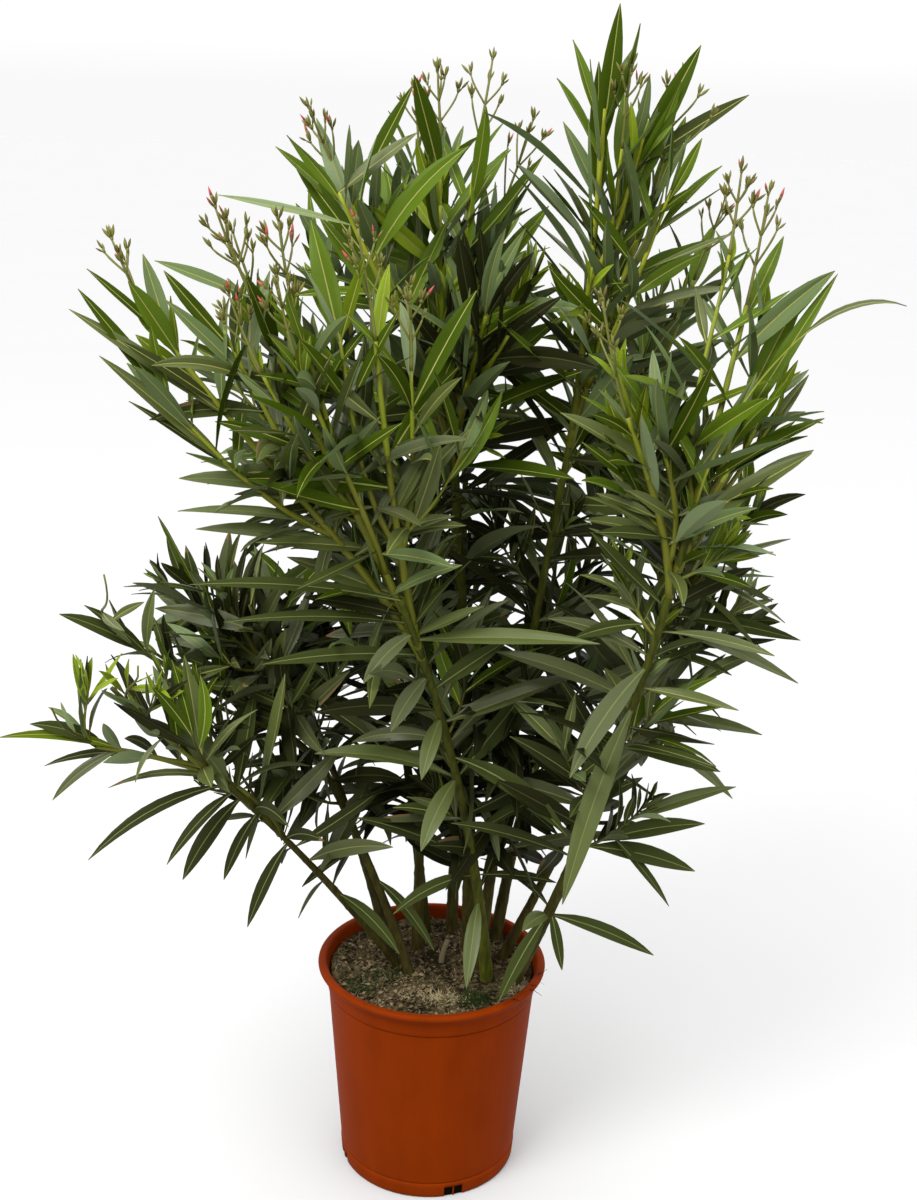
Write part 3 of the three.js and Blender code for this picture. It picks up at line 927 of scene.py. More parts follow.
def crown_shoots(mass, stem, rng):
    """A mass's main shoot from its stem's head to the mass's tip, and the forks beside it."""
    habit = habit_of(mass)
    points = mass_points(mass)
    tip = mass_tip(mass, stem)
    turned_off = math.acos(float(np.dot(unit(tip - stem.head), stem.aim)))
    stem = stem.below_head(0.17 * min(turned_off, 1.0))
    chord = unit(tip - stem.head)
    start_aim = unit((stem.aim + chord) / 2 + habit.arch * UP)
    end_aim = unit(chord + (SHOOT_LIFT - 0.5 * habit.arch) * UP)
    whole = bezier(stem.head, start_aim, tip, end_aim)
    leaf_room = float(np.interp(tip[2], (0.75, HIGH_MASSES_ABOVE), (LOW_LEAF_ROOM, LEAF_ROOM)))
    room = habit.clear if habit.heads else leaf_room
    main = cut_line(whole, 0, line_length(whole) - room - habit.short)
    high = tip[2] > HIGH_MASSES_ABOVE
    tone = rng.normal(0, 0.25) + habit.fresh
    young = not high or rng.random() < 0.3
    radius = sizes().twig_radius
    shoots = [Shoot(mass, main, radius, main=True, flowers=habit.clear, tone=tone, young=young)]
    places = np.arange(0.14, 0.62, 0.24 if high else 0.16) * len(main)
    shoots += side_shoots(mass, main, places, rng)
    spread = np.percentile(np.linalg.norm(points - points.mean(axis=0), axis=1), 60)
    turn = rng.uniform(0, FULL_TURN)
    usual_forks = 2 if high else 3
    for number in range(usual_forks if habit.forks is None else habit.forks):
        at = int(rng.uniform(0.15, 0.55) * len(main))
        start, along = main[at], directions(main)[at]
        turn += math.pi * rng.uniform(0.75, 1.25)
        side = sideways(along, turn, UP + rng.normal(0, 0.2, 3))
        ahead = (tip - start) * rng.uniform(0.62, 0.86)
        end = start + ahead + side * spread * rng.uniform(0.30, 0.50)
        fork_aim = unit(end - start + 0.35 * (UP + side * 0.3) * np.linalg.norm(end - start))
        fork = bezier(start, unit(along + side * 0.5), end, fork_aim)
        shoot = Shoot(
            mass,
            cut_line(fork, 0, line_length(fork) - FORK_ROOM),
            radius * FORK_SLIMNESS,
            flowers=FORK_FLOWER_ROOM if habit.heads > number + 1 else 0.0,
            scale=rng.uniform(0.78, 0.98),
            tone=tone + rng.normal(0, 0.3),
            young=rng.random() < 0.5,
            spacing=0.95,
        )
        shoots.append(shoot)
    if habit.gaps is not None:
        for shoot in shoots:
            shoot.gaps = habit.gaps
    return shoots + young_shoots(mass, main)


def grow():
    """All stems, and all leafy shoots in the order of their masses' names."""
    stems = {name: read_stem(name) for name in sorted(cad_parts) if name.startswith("stem_")}
    shoots = []
    for index, mass in enumerate(mass_names()):
        rng = np.random.default_rng(SEED + index)
        stem = stems["stem_" + (habit_of(mass).stem or mass.removeprefix(SLEEVE_PREFIX))]
        if mass.startswith(SLEEVE_PREFIX):
            shoots += sleeve_shoots(mass, stem, rng)
        elif mass == STRAY_MASS:
            shoots += stray_shoot(mass, stem)
        else:
            shoots += crown_shoots(mass, stem, rng)
    return stems, shoots


# --- leaves -------------------------------------------------------------------------------------


def encloses(tree, point):
    """Whether a point lies inside a closed mesh, by the faces that a line up from it crosses."""
    up = Vector(UP)
    crossings = 0
    spot = tree.ray_cast(point, up)[0]
    while spot is not None:
        crossings += 1
        spot = tree.ray_cast(spot + up * 1e-5, up)[0]
    return crossings % 2 == 1


class Outline:
    """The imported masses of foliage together, which the leaves' tips keep to."""

    def __init__(self):
        meshes = [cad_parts[MASS_PREFIX + mass].data for mass in mass_names()]
        self.trees = [
            BVHTree.FromPolygons(
                [vertex.co for vertex in mesh.vertices], [face.vertices for face in mesh.polygons]
            )
            for mesh in meshes
        ]

    def overhang(self, point):
        """How far a point lies outside all masses, or nothing inside one of them."""
        point = Vector(point)
        if any(encloses(tree, point) for tree in self.trees):
            return 0.0
        return min(tree.find_nearest(point)[3] for tree in self.trees)


class Leaves:
    """The leaves of one mass, gathered one by one and made into a surface all at once."""

    def __init__(self):
        self.rows = []

    def keep_to(self, outline):
        """Shortens the leaves that reach out past the masses' outline, and drops those that
        would lose too much."""
        for _ in range(2):
            if not self.rows:
                return
            tips = leaf_surface(self)[:, -1, 2]
            kept = []
            for row, tip in zip(self.rows, tips):
                excess = outline.overhang(tip) - SPARE_ROOM
                share = max(0.0, excess) / row["length"]
                if share < MOST_LOST:
                    row["length"] *= 1 - share
                    row["width"] *= (1 - share) ** 0.8
                    kept.append(row)
            self.rows = kept

    def add(self, **leaf):
        self.rows.append(leaf)

    def column(self, name):
        return np.array([row[name] for row in self.rows])


def at_height(height, values):
    """A value of the foliage at a height, from a list that goes with HABIT_HEIGHTS."""
    return float(np.interp(height, HABIT_HEIGHTS, values))


def near_tip(shoot, below_tip, kind):
    """The factor on the lengths, angles or spacings of a shoot's leaves at a distance below its
    tip."""
    growth = YOUNG_SHOOT if shoot.young else GROWN_SHOOT
    return float(np.interp(below_tip, GROWTH_DISTANCES, growth[kind]))


def slack_at(point):
    """How much a low leaf gives way to its weight: less on the right of the plant than the left."""
    return float(np.interp(point[0], (-0.10, 0.15), (1.0, 0.4)))


def add_leaf(leaves, rng, shoot, base, axis, out, below_tip):
    """One leaf on a shoot, with the habit that its height and its distance below the tip give."""
    height = base[2]
    opening = at_height(height, LEAF_ANGLES) * near_tip(shoot, below_tip, "angles")
    angle = math.radians(opening) * shoot.spread * rng.uniform(*ANGLE_RANGE)
    growth = near_tip(shoot, below_tip, "lengths")
    full = sizes().leaf_length * at_height(height, LEAF_SCALES)
    leaf_length = full * growth * shoot.scale * rng.uniform(*LENGTH_RANGE)
    lift = np.interp(height, (0.9, 1.2), (0.12, 0.20))
    aim = unit(axis * math.cos(angle) + out * math.sin(angle) + UP * lift)
    outward = unit(base * (1.0, 1.0, 0.0))
    face = square_to(axis * 0.5 + UP * 0.6 + outward * 0.45 + FRONT * 0.30, aim)
    face = turned(face, aim, rng.normal(0, TILT_SPREAD))
    tone = at_height(height, LEAF_TONES) + shoot.tone + rng.normal(0, TONE_SPREAD)
    tone += (1.6 if shoot.young else 0.7) * max(0.0, 1 - below_tip / 0.07)
    top = int(np.clip(round(tone * 2 + rng.uniform(-0.5, 0.9)) + 1, 1, len(TOP_TONES) - 1))
    if leaf_length > 0.11:
        top = min(top, TOP_TONES.index("leaf_upper"))
    if height < 0.95 and below_tip > 0.08:
        top = min(top, TOP_TONES.index("leaf_mature"))
    age = 2 if tone >= UNDER_AGE_TONE else 1
    pale = age == 2 and rng.random() < PALE_UNDER_SHARE
    under = LEAF_MATERIALS.index(UNDER_TONES[3 if pale else age])
    if rng.random() < at_height(height, TURNED_SHARES):
        top, under = under, top
    inner = habit_of(shoot.mass).inner
    # Painted shade: the chosen leaves take near-black finishes on both sides and the midrib.
    if rng.random() < (INNER_SHADED_SHARE if inner else at_height(height, SHADED_SHARES)):
        top, under, age = 0, 0, 0
    slimness = sizes().leaf_slimness * at_height(height, LEAF_WIDTHS)
    bend = at_height(height, LEAF_DROOPS) * slack_at(base)
    leaves.add(
        base=base,
        aim=aim,
        face=face,
        length=leaf_length,
        width=leaf_length**0.8 * 0.69 * slimness * rng.uniform(*WIDTH_RANGE),
        droop=bend * growth * rng.uniform(*DROOP_RANGE),
        recurve=rng.uniform(*RECURVE_RANGE),
        twist=rng.normal(0, TWIST_SPREAD),
        sway=rng.normal(0, SWAY_SPREAD),
        wave=rng.uniform(*WAVE_RANGE),
        fold=rng.uniform(*FOLD_RANGE),
        top=top,
        under=under,
        rib=LEAF_MATERIALS.index(RIB_TONES[age]),
        dry_tip=int(age == 1 and rng.random() < DRY_TIP_SHARE),
        dry_edge=int(age == 1 and rng.random() < DRY_EDGE_SHARE),
    )


def leaves_of_shoot(leaves, shoot, rng):
    """Whorls of three up a shoot, closer together and more upright towards its tip."""
    habit = habit_of(shoot.mass)
    low_leaves_out = FRESH_LOW_LEAVES_OUT if habit.fresh else LOW_LEAVES_OUT
    total = line_length(shoot.line)
    along = directions(shoot.line)
    own = np.linspace(0, total, len(shoot.line))
    at = shoot.first
    turn = rng.uniform(0, FULL_TURN)
    while at < total:
        below_tip = 1.0 if shoot.on_stem else total - at
        point = read_along(shoot.line, own, at)
        axis = unit(read_along(along, own, at))
        height = point[2]
        radius = shoot.radius * (1 - 0.4 * at / total)
        gaps = shoot.gaps + at_height(height, MISSING_LOW_SHARES)
        for third in range(3):
            if rng.random() < gaps:
                continue
            angle = turn + third * FULL_TURN / 3 + rng.normal(0, 0.20)
            out = sideways(axis, angle)
            hides_shoot = shoot.main and abs(out[0]) < 0.72 and out[1] < 0
            if hides_shoot and habit.open_front and rng.random() < HIDING_LEAVES_OUT:
                continue
            hanging = height < LOW_SHOOTS_BELOW and out[2] < -0.3
            if hanging and rng.random() < low_leaves_out:
                continue
            foot = point + out * radius * 0.7 + axis * rng.normal(0, 0.0025)
            add_leaf(leaves, rng, shoot, foot, axis, out, below_tip)
        turn += math.pi / 3 + rng.normal(0, 0.12)
        step = sizes().internode * shoot.spacing * rng.uniform(0.8, 1.2)
        at += step * at_height(height, LEAF_SPACINGS) * near_tip(shoot, below_tip, "spacings")


def add_reaching_leaf(leaves, shoots, tip, wanted, width, finish, rng):
    """One leaf out to a given tip, from a point of a shoot that lies about its length away: high
    leaves rise to their tips, and low ones hang down to them."""
    height = tip[2] / 1000
    outward = from_axis(tip[0], 1000, 0)
    end = from_axis(*tip)
    points = np.concatenate([shoot.line for shoot in shoots])
    chords = end - points
    away = np.linalg.norm(chords, axis=1)
    thin = width / 1000 < THIN_LEAF
    rise = 0.0 if thin else np.interp(height, (0.3, 0.7, 1.1, 1.3), (-0.6, 0.0, 0.6, 2.0))
    score = unit(chords) @ unit(outward + UP * rise) - 12 * np.abs(away * 1000 / wanted - 1)
    droop = 0.9 if thin else float(np.interp(height, (0.5, 1.0), (0.9 * slack_at(end), 0.1)))
    add_leaf_between(leaves, points[np.argmax(score)], end, width / 1000, droop, finish, rng)


def add_leaf_from_height(leaves, shoots, height, tip, width, finish, droop, rng):
    """One leaf from the first of the shoots, at a height in millimetres, to a given tip."""
    line = shoots[0].line
    base = read_along(line, line[:, 2], height / 1000)
    add_leaf_between(leaves, base, from_axis(*tip), width / 1000, droop, finish, rng)


def add_leaf_row(leaves, shoots, first, last, rise, count, width, finish, rng):
    """Leaves whose tips lie along a line from the first to the last."""
    for share in np.linspace(0, 1, count):
        tip = np.array(first) * (1 - share) + np.array(last) * share + rng.normal(0, (1, 12, 6))
        own = width * rng.uniform(0.85, 1.15)
        add_leaf_from_height(leaves, shoots, tip[2] + rise, tip, own, finish, ROW_DROOP, rng)


def add_leaf_between(leaves, base, end, width, droop, finish, rng):
    """A leaf from a point of a shoot to the place of its tip."""
    thin = width < THIN_LEAF
    aim = unit((end - base) / np.linalg.norm(end - base) + UP * droop * 0.5)
    young = end[2] > 1.0 or "young" in finish
    pale = "under" in finish
    leaves.add(
        base=base,
        aim=aim,
        face=square_to(UP + FRONT * 0.8, aim),
        length=float(np.linalg.norm(end - base)) * (1 + droop * droop / 10),
        width=width,
        droop=droop,
        recurve=0.0,
        twist=rng.normal(0, 0.2),
        sway=0.0,
        wave=0.0004,
        fold=0.25,
        top=LEAF_MATERIALS.index(finish),
        under=LEAF_MATERIALS.index("leaf_under_pale" if young or pale else "leaf_under_old"),
        rib=LEAF_MATERIALS.index("leaf_rib_young" if young else "leaf_rib_old"),
        dry_tip=int(thin and not young),
        dry_edge=0,
    )


def blade_half_width(s):
    """Half the width of a leaf along it, as a share of the greatest: a short stalk, then the
    blade, which is widest just below its middle and runs out to a point."""
    blade = np.clip((s - 0.05) / 0.95, 0, 1)
    shape = blade**0.74 * (1 - blade) ** 0.88
    return shape / (0.457**0.74 * 0.543**0.88)


def leaf_surface(leaves):
    """Every leaf as a thin closed blade, folded along its midrib, which stands out below."""
    steps = sizes().leaf_sections
    position, aim, face = map(leaves.column, ("base", "aim", "face"))
    long, width, droop, recurve = map(leaves.column, ("length", "width", "droop", "recurve"))
    twist, sway, wave, fold = map(leaves.column, ("twist", "sway", "wave", "fold"))
    phase = np.arange(len(wave)) * GOLDEN_TURN
    sections = []
    for step in range(steps + 1):
        s = step / steps
        half = width / 2 * blade_half_width(s)
        rib = (0.00065 - 0.00040 * s) * (0.7 + width / 0.035)
        half = np.maximum(half, rib * 1.25)
        middle = (half + rib) * 0.56
        side = np.cross(aim, face)
        under = 0.0007 * (1 - 0.6 * s)
        ripple = wave * math.sin(math.pi * s)
        left_rise = fold * half * 0.9 + ripple * np.sin(phase + 9 * s)
        right_rise = fold * half * 0.9 + ripple * np.sin(phase * 3 + 8 * s)
        middle_rise = fold * middle + 0.0003
        profile = (
            (-half, left_rise),
            (-middle, middle_rise),
            (-rib, 0 * rib),
            (rib, 0 * rib),
            (middle, middle_rise),
            (half, right_rise),
            (rib * 0.8, -under - rib * 0.5),
            (-rib * 0.8, -under - rib * 0.5),
        )
        ring = [position + side * x[:, None] + face * y[:, None] for x, y in profile]
        sections.append(np.stack(ring, axis=1))
        down = -UP - np.sum(-UP * aim, axis=1, keepdims=True) * aim
        bend = down * droop[:, None] - face * (recurve * (0.4 + s))[:, None]
        aim = unit(aim + (bend + side * sway[:, None]) / steps)
        face = turned(square_to(face, aim), aim, twist / steps)
        position = position + aim * (long / steps)[:, None]
    return np.stack(sections, axis=1)


def leaf_faces(leaves):
    """The faces of every leaf and the finish of each."""
    steps = sizes().leaf_sections
    ring = np.arange(8)
    after = (ring + 1) % 8
    strip = np.stack([ring, after, after + 8, ring + 8], axis=1)
    faces = [strip + 8 * step for step in range(steps)]
    cap = np.array([(0, 1, 2, 7), (2, 3, 6, 7), (3, 4, 5, 6)])
    faces.append(cap[:, ::-1])
    faces.append(cap + 8 * steps)
    one = np.concatenate(faces)
    starts = np.arange(len(leaves.rows)) * 8 * (steps + 1)
    every = one[None] + starts[:, None, None]
    dry = LEAF_MATERIALS.index("leaf_dry")
    top, under, rib = map(leaves.column, ("top", "under", "rib"))
    by_strip = np.stack([top, top, rib, top, top, under, rib, under], axis=1)
    finish = np.repeat(by_strip[:, None], steps, axis=1)
    for row, leaf in enumerate(leaves.rows):
        if leaf["dry_tip"]:
            finish[row, -1, :] = dry
        if leaf["dry_edge"]:
            finish[row, -4:-1, 4] = dry
    caps = np.repeat(rib[:, None], 6, axis=1)
    finish = np.concatenate([finish.reshape(len(leaves.rows), -1), caps], axis=1)
    return every.reshape(-1, 4), finish.reshape(-1)


# --- flower heads -------------------------------------------------------------------------------

PETALS_SHARE = 0.08  # of the buds, whose furled petals show
FLOWER_SIDE = (1.0, 0.2, 0.1)

# The branches of a flower head: how far up its stalk they leave it, how many there are, and how
# long they are as a share of the head.
FLOWER_BRANCHES = ((0.40, 2, 0.34), (0.72, 3, 0.22))


def add_bud(patchwork, base, aim, bud_length, petals, rng):
    """A closed bud: a green cup, and on some a long furled tip of petals."""
    stretch = bud_length * (1.4 if petals else 1.0)
    s = np.linspace(0, 1, 7)
    radius = bud_length * 0.135 * np.sin(math.pi * np.clip(s * 0.93 + 0.07, 0, 1)) ** 0.8
    line = base + aim * (s * stretch)[:, None]
    rings = line[:, None] + spokes(line, 6) * np.maximum(radius, 0.0002)[:, None, None]
    cup = int(rng.integers(0, 2))
    add_rings(patchwork, rings[:4] if petals else rings, cup)
    if petals:
        add_rings(patchwork, rings[3:], 2)


def add_cluster(stalks, buds, base, aim, rng, count):
    """A few buds close together at the end of a branch of a flower head."""
    turn = rng.uniform(0, FULL_TURN)
    for number in range(count):
        turn += GOLDEN_TURN
        out = sideways(aim, turn, FLOWER_SIDE)
        tilt = 0.05 if number == 0 else rng.uniform(0.35, 0.75)
        bud_aim = unit(aim + out * tilt + 0.2 * UP)
        foot = base + bud_aim * rng.uniform(0.002, 0.006)
        add_tube(stalks, np.array([base, foot]), (0.0010, 0.0011), 5)
        petals = rng.random() < PETALS_SHARE
        add_bud(buds, foot, bud_aim, sizes().bud_length * rng.uniform(0.7, 1.2), petals, rng)


def add_flower_head(stalks, buds, base, aim, rng, span):
    """A branched head of stalks and buds above the last leaves of a shoot."""
    lean = unit(aim + rng.normal(0, 0.08, 3) + 0.25 * UP)
    top = base + lean * span * 0.90
    main = bezier(base, aim, top, unit(lean + 0.2 * UP), 12)
    add_tube(stalks, main, np.linspace(0.0021, 0.0012, 12), 7)
    add_cluster(stalks, buds, top, lean, rng, int(rng.integers(4, 7)))
    turn = rng.uniform(0, FULL_TURN)
    for level, branches, reach in FLOWER_BRANCHES:
        for _ in range(branches):
            turn += FULL_TURN / branches + rng.normal(0, 0.3)
            start = main[int(level * (len(main) - 1))]
            out = sideways(lean, turn, FLOWER_SIDE)
            branch_aim = unit(lean + out * rng.uniform(0.45, 0.80))
            end = start + branch_aim * span * reach * rng.uniform(0.8, 1.3)
            end_aim = unit(branch_aim + 0.6 * lean)
            branch = bezier(start, branch_aim, end, end_aim, 6)
            add_tube(stalks, branch, (0.0013,) * 5 + (0.0010,), 6)
            add_cluster(stalks, buds, end, end_aim, rng, int(rng.integers(3, 6)))


# --- pot and soil -------------------------------------------------------------------------------


RIM_REACH = 0.012  # how far the rim stands out from the wall, and how far down the wall ends
RIM_ROLL = 0.0045  # the radius of the rolled rim
COLLAR_TOP = 0.017  # below the rim's top
COLLAR_FOOT = 0.034
WALL_THICKNESS = 0.0024
FLOOR_THICKNESS = 0.003

# The steps in the pot's wall, as distances out from it and heights: a foot band with a groove over
# it, and the groove below the collar, whose heights count down from the top of the rim.
FOOT_BAND = (
    (0.0008, 0.0080),
    (0.0008, 0.0140),
    (0.0008, 0.0195),
    (0.0002, 0.0205),
    (-0.0012, 0.0213),
    (-0.0012, 0.0230),
    (0.0, 0.0240),
)
COLLAR_GROOVE = ((0.0, 0.0380), (-0.0013, 0.0372), (-0.0013, 0.0356), (0.0010, 0.0348))


def pot_profile(rim, top):
    """The pot's outline from the middle of its underside, over the rim and down inside. The rim's
    outer radius and the height of its top drive it."""
    foot = pot_foot()
    slope = (rim - RIM_REACH - foot) / (top - RIM_REACH)

    def wall(out, heights):
        return [(foot + slope * z + out, z) for z in heights]

    outline = [(0.0, 0.0), (foot - 0.004, 0.0), (foot, 0.0009), (foot + 0.001, 0.003)]
    for out, z in FOOT_BAND:
        outline += wall(out, [z])
    outline += wall(0, np.linspace(0.030, top - 0.0385, 12))
    for out, down in COLLAR_GROOVE:
        outline += wall(out, [top - down])
    outline += wall(0.0013, np.linspace(top - COLLAR_FOOT, top - COLLAR_TOP, 5))
    for turn in np.linspace(-math.pi / 2, 0, 5):
        out = rim - 0.0095 + 0.004 * math.sin(turn + math.pi / 2)
        outline.append((out, top - 0.0145 + 0.0022 * (1 + math.sin(turn))))
    for turn in np.linspace(-0.35 * math.pi, 0.5 * math.pi, 8):
        out = rim - RIM_ROLL + RIM_ROLL * math.cos(turn)
        outline.append((out, top - RIM_ROLL + RIM_ROLL * math.sin(turn)))
    outline += [(rim - 0.0085, top), (rim - 0.0105, top - 0.0012), (rim - 0.0120, top - 0.0040)]
    outline += wall(-WALL_THICKNESS, (top - RIM_REACH, top - 0.024, 0.10, FLOOR_THICKNESS))
    outline.append((0.0, FLOOR_THICKNESS))
    return outline


def lathe(outline, segments):
    """Rings of an outline turned about Z, for a solid that starts and ends on the axis."""
    turn = even_turns(segments)
    radii = np.array([max(radius, 1e-5) for radius, _ in outline])
    heights = np.array([height for _, height in outline])
    rings = np.zeros((len(outline), segments, 3))
    rings[..., 0] = radii[:, None] * np.cos(turn)
    rings[..., 1] = radii[:, None] * np.sin(turn)
    rings[..., 2] = heights[:, None]
    return rings


NOTCH_SPREAD = 6.6  # degrees between the middles of a pair
NOTCH_HALF_WIDTH = 0.0059
NOTCH_TOP = 0.0155


def pot_foot():
    """The outer radius of the pot's underside."""
    points = node_points("pot")
    return float(np.hypot(points[:, 0], points[:, 1])[points[:, 2] < 0.0001].max())


def notch_boxes(outer, inner, half_width, foot, top):
    """A box for each drainage notch, four pairs of them, between two distances from the axis and
    two heights."""
    boxes = Patchwork()
    corners = np.array([(x, y, z) for x in (-1, 1) for y in (-1, 1) for z in (-1, 1)], float)
    quads = ((0, 1, 3, 2), (4, 6, 7, 5), (0, 4, 5, 1), (2, 3, 7, 6), (0, 2, 6, 4), (1, 5, 7, 3))
    for pair in range(4):
        for side in (-0.5, 0.5):
            heading = math.radians(-72 + 90 * pair + NOTCH_SPREAD * side)
            ahead = np.array((math.cos(heading), math.sin(heading), 0))
            across = np.array((-math.sin(heading), math.cos(heading), 0))
            far = (outer + inner) / 2 + corners[:, :1] * (outer - inner) / 2
            box = ahead * far + across * corners[:, 1:2] * half_width
            boxes.add(box + UP * np.where(corners[:, 2:] < 0, foot, top), quads)
    return boxes


def apply_cut(piece, cutter):
    """Cuts one solid from another for good."""
    modifier = piece.modifiers.new("notches", "BOOLEAN")
    modifier.operation = "DIFFERENCE"
    modifier.solver = "EXACT"
    modifier.object = cutter
    view = bpy.context.evaluated_depsgraph_get()
    cut = bpy.data.meshes.new_from_object(piece.evaluated_get(view))
    piece.modifiers.clear()
    old = piece.data
    piece.data = cut
    cut.name = old.name
    bpy.data.meshes.remove(old)
    bpy.data.objects.remove(cutter)


CRUMBS = 3900

# Patches of straw, dry moss and green moss on the soil: how many blades each has, its middle and
# its spread, their length and width, the finishes that they are dealt, and how steeply they rise.
FIBRE_PATCHES = (
    (900, (0.0, 0.0), (0.075, 0.075), 0.010, 0.0005, (0, 1, 1), 0.35),
    (280, (0.020, -0.079), (0.013, 0.006), 0.009, 0.0008, (0, 0, 0, 1), 1.0),
    (130, (-0.012, -0.074), (0.014, 0.006), 0.007, 0.0006, (0, 0, 1), 1.0),
    (640, (0.056, -0.077), (0.011, 0.009), 0.008, 0.0008, (2, 3, 3), 1.4),
    (380, (-0.055, -0.018), (0.020, 0.010), 0.006, 0.0008, (3, 3, 2), 1.2),
    (300, (-0.095, -0.055), (0.014, 0.012), 0.006, 0.0008, (3, 3, 2), 1.0),
    (200, (0.118, -0.057), (0.008, 0.012), 0.018, 0.0006, (0, 1, 1), 0.9),
)
ROOT_HEADINGS = (-16, -27, -31, -44)  # degrees; dark roots that stick out over the pot's rim

# The stub of a cut stem in the soil.
STUB_LINE = ((0.012, 0.018, 0.266), (0.015, 0.022, 0.284), (0.021, 0.026, 0.300))
STUB_RADII = (0.0044, 0.0042, 0.0040, 0.0038, 0.0036, 0.0036)


def rough(x, y, seed, scale):
    """A smooth repeatable unevenness from -1 to 1 over a plane."""
    rng = np.random.default_rng(seed)
    total = np.zeros_like(x)
    for octave in range(5):
        frequency = scale * 1.9**octave
        for _ in range(4):
            heading, phase = rng.uniform(0, FULL_TURN, 2)
            across = x * math.cos(heading) + y * math.sin(heading)
            total += np.sin(across * frequency + phase) * 0.6**octave
    return total / 4


def soil_height(x, y):
    """Height of the soil's surface: low swells and crumbs, drawn up a little at the pot's wall."""
    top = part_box("soil")[1].z
    radius = np.hypot(x, y)
    edge = np.clip((radius - 0.095) / 0.038, 0, 1)
    return top + 0.0024 * rough(x, y, 5, 60) + 0.0014 * rough(x, y, 6, 420) + 0.002 + 0.003 * edge**2


def add_soil_body(patchwork):
    """The soil as one solid: an uneven top, and a plain side and bottom inside the pot."""
    low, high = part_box("soil")
    points = node_points("soil")
    bottom = float(np.hypot(points[:, 0], points[:, 1])[points[:, 2] < low.z + 0.0005].max())
    segments = 168
    outline = [(0, low.z), (bottom - 0.004, low.z), (bottom - 0.004, 0.016), (bottom, 0.017)]
    outline += [(high.x - 0.0006, high.z - 0.002)]
    radii = np.linspace(high.x - 0.0008, 0.0008, 66)
    rings = lathe(outline, segments)
    top = lathe([(radius, 0) for radius in radii], segments)
    top[..., 2] = soil_height(top[..., 0], top[..., 1])
    skin = np.concatenate([rings, top])
    below_top = np.arange(len(skin) - 1) < len(rings)
    add_rings(patchwork, skin, below_top.astype(int))


def add_crumb(patchwork, centre, size, slot, rng):
    """A crumb of soil or grit: an uneven eight-sided lump."""
    corners = np.array([(1, 0, 0), (0, 1, 0), (-1, 0, 0), (0, -1, 0), (0, 0, 1), (0, 0, -1)], float)
    corners *= rng.uniform(0.6, 1.2, (6, 3)) * size
    turn = rng.uniform(0, FULL_TURN)
    cos, sin = math.cos(turn), math.sin(turn)
    spin = np.array([(cos, -sin, 0), (sin, cos, 0), (0, 0, 0.7)])
    corners = corners @ spin.T + centre + rng.normal(0, 0.1 * size, (6, 3))
    faces = [(0, 1, 4), (1, 2, 4), (2, 3, 4), (3, 0, 4), (1, 0, 5), (2, 1, 5), (3, 2, 5), (0, 3, 5)]
    patchwork.add(corners, faces, slot)


def add_blade(patchwork, base, aim, blade_length, width, slot, rng):
    """A thin bent blade of moss, straw or root, as a three-sided tube that tapers."""
    side = square_to(rng.normal(0, 1, 3), aim)
    s = np.linspace(0, 1, 3)[:, None]
    bend = side * rng.normal(0, 0.35) * blade_length
    line = base + aim * s * blade_length + bend * s**2 - UP * 0.25 * blade_length * s**2
    add_tube(patchwork, line, width * (1 - 0.75 * s[:, 0]), 3, slot)


# --- operators ----------------------------------------------------------------------------------


class OLEANDER_OT_pot(bpy.types.Operator):
    """Make the nursery pot with its rolled rim, collar, foot band and drainage notches"""

    bl_idname = "oleander.pot"
    bl_label = "Pot"

    def execute(self, context):
        patchwork = Patchwork()
        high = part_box("pot")[1]
        add_rings(patchwork, lathe(pot_profile(high.x, high.z), 192))
        piece = make_piece(patchwork, "nursery_pot", [pot_material()], ["pot"], 40)
        outer, inner = pot_foot() + 0.012, pot_foot() - 0.009
        boxes = notch_boxes(outer, inner, NOTCH_HALF_WIDTH, -0.010, NOTCH_TOP)
        cutter = bpy.data.objects.new("notch_cutter", boxes.mesh("notch_cutter"))
        context.scene.collection.objects.link(cutter)
        apply_cut(piece, cutter)
        return {"FINISHED"}


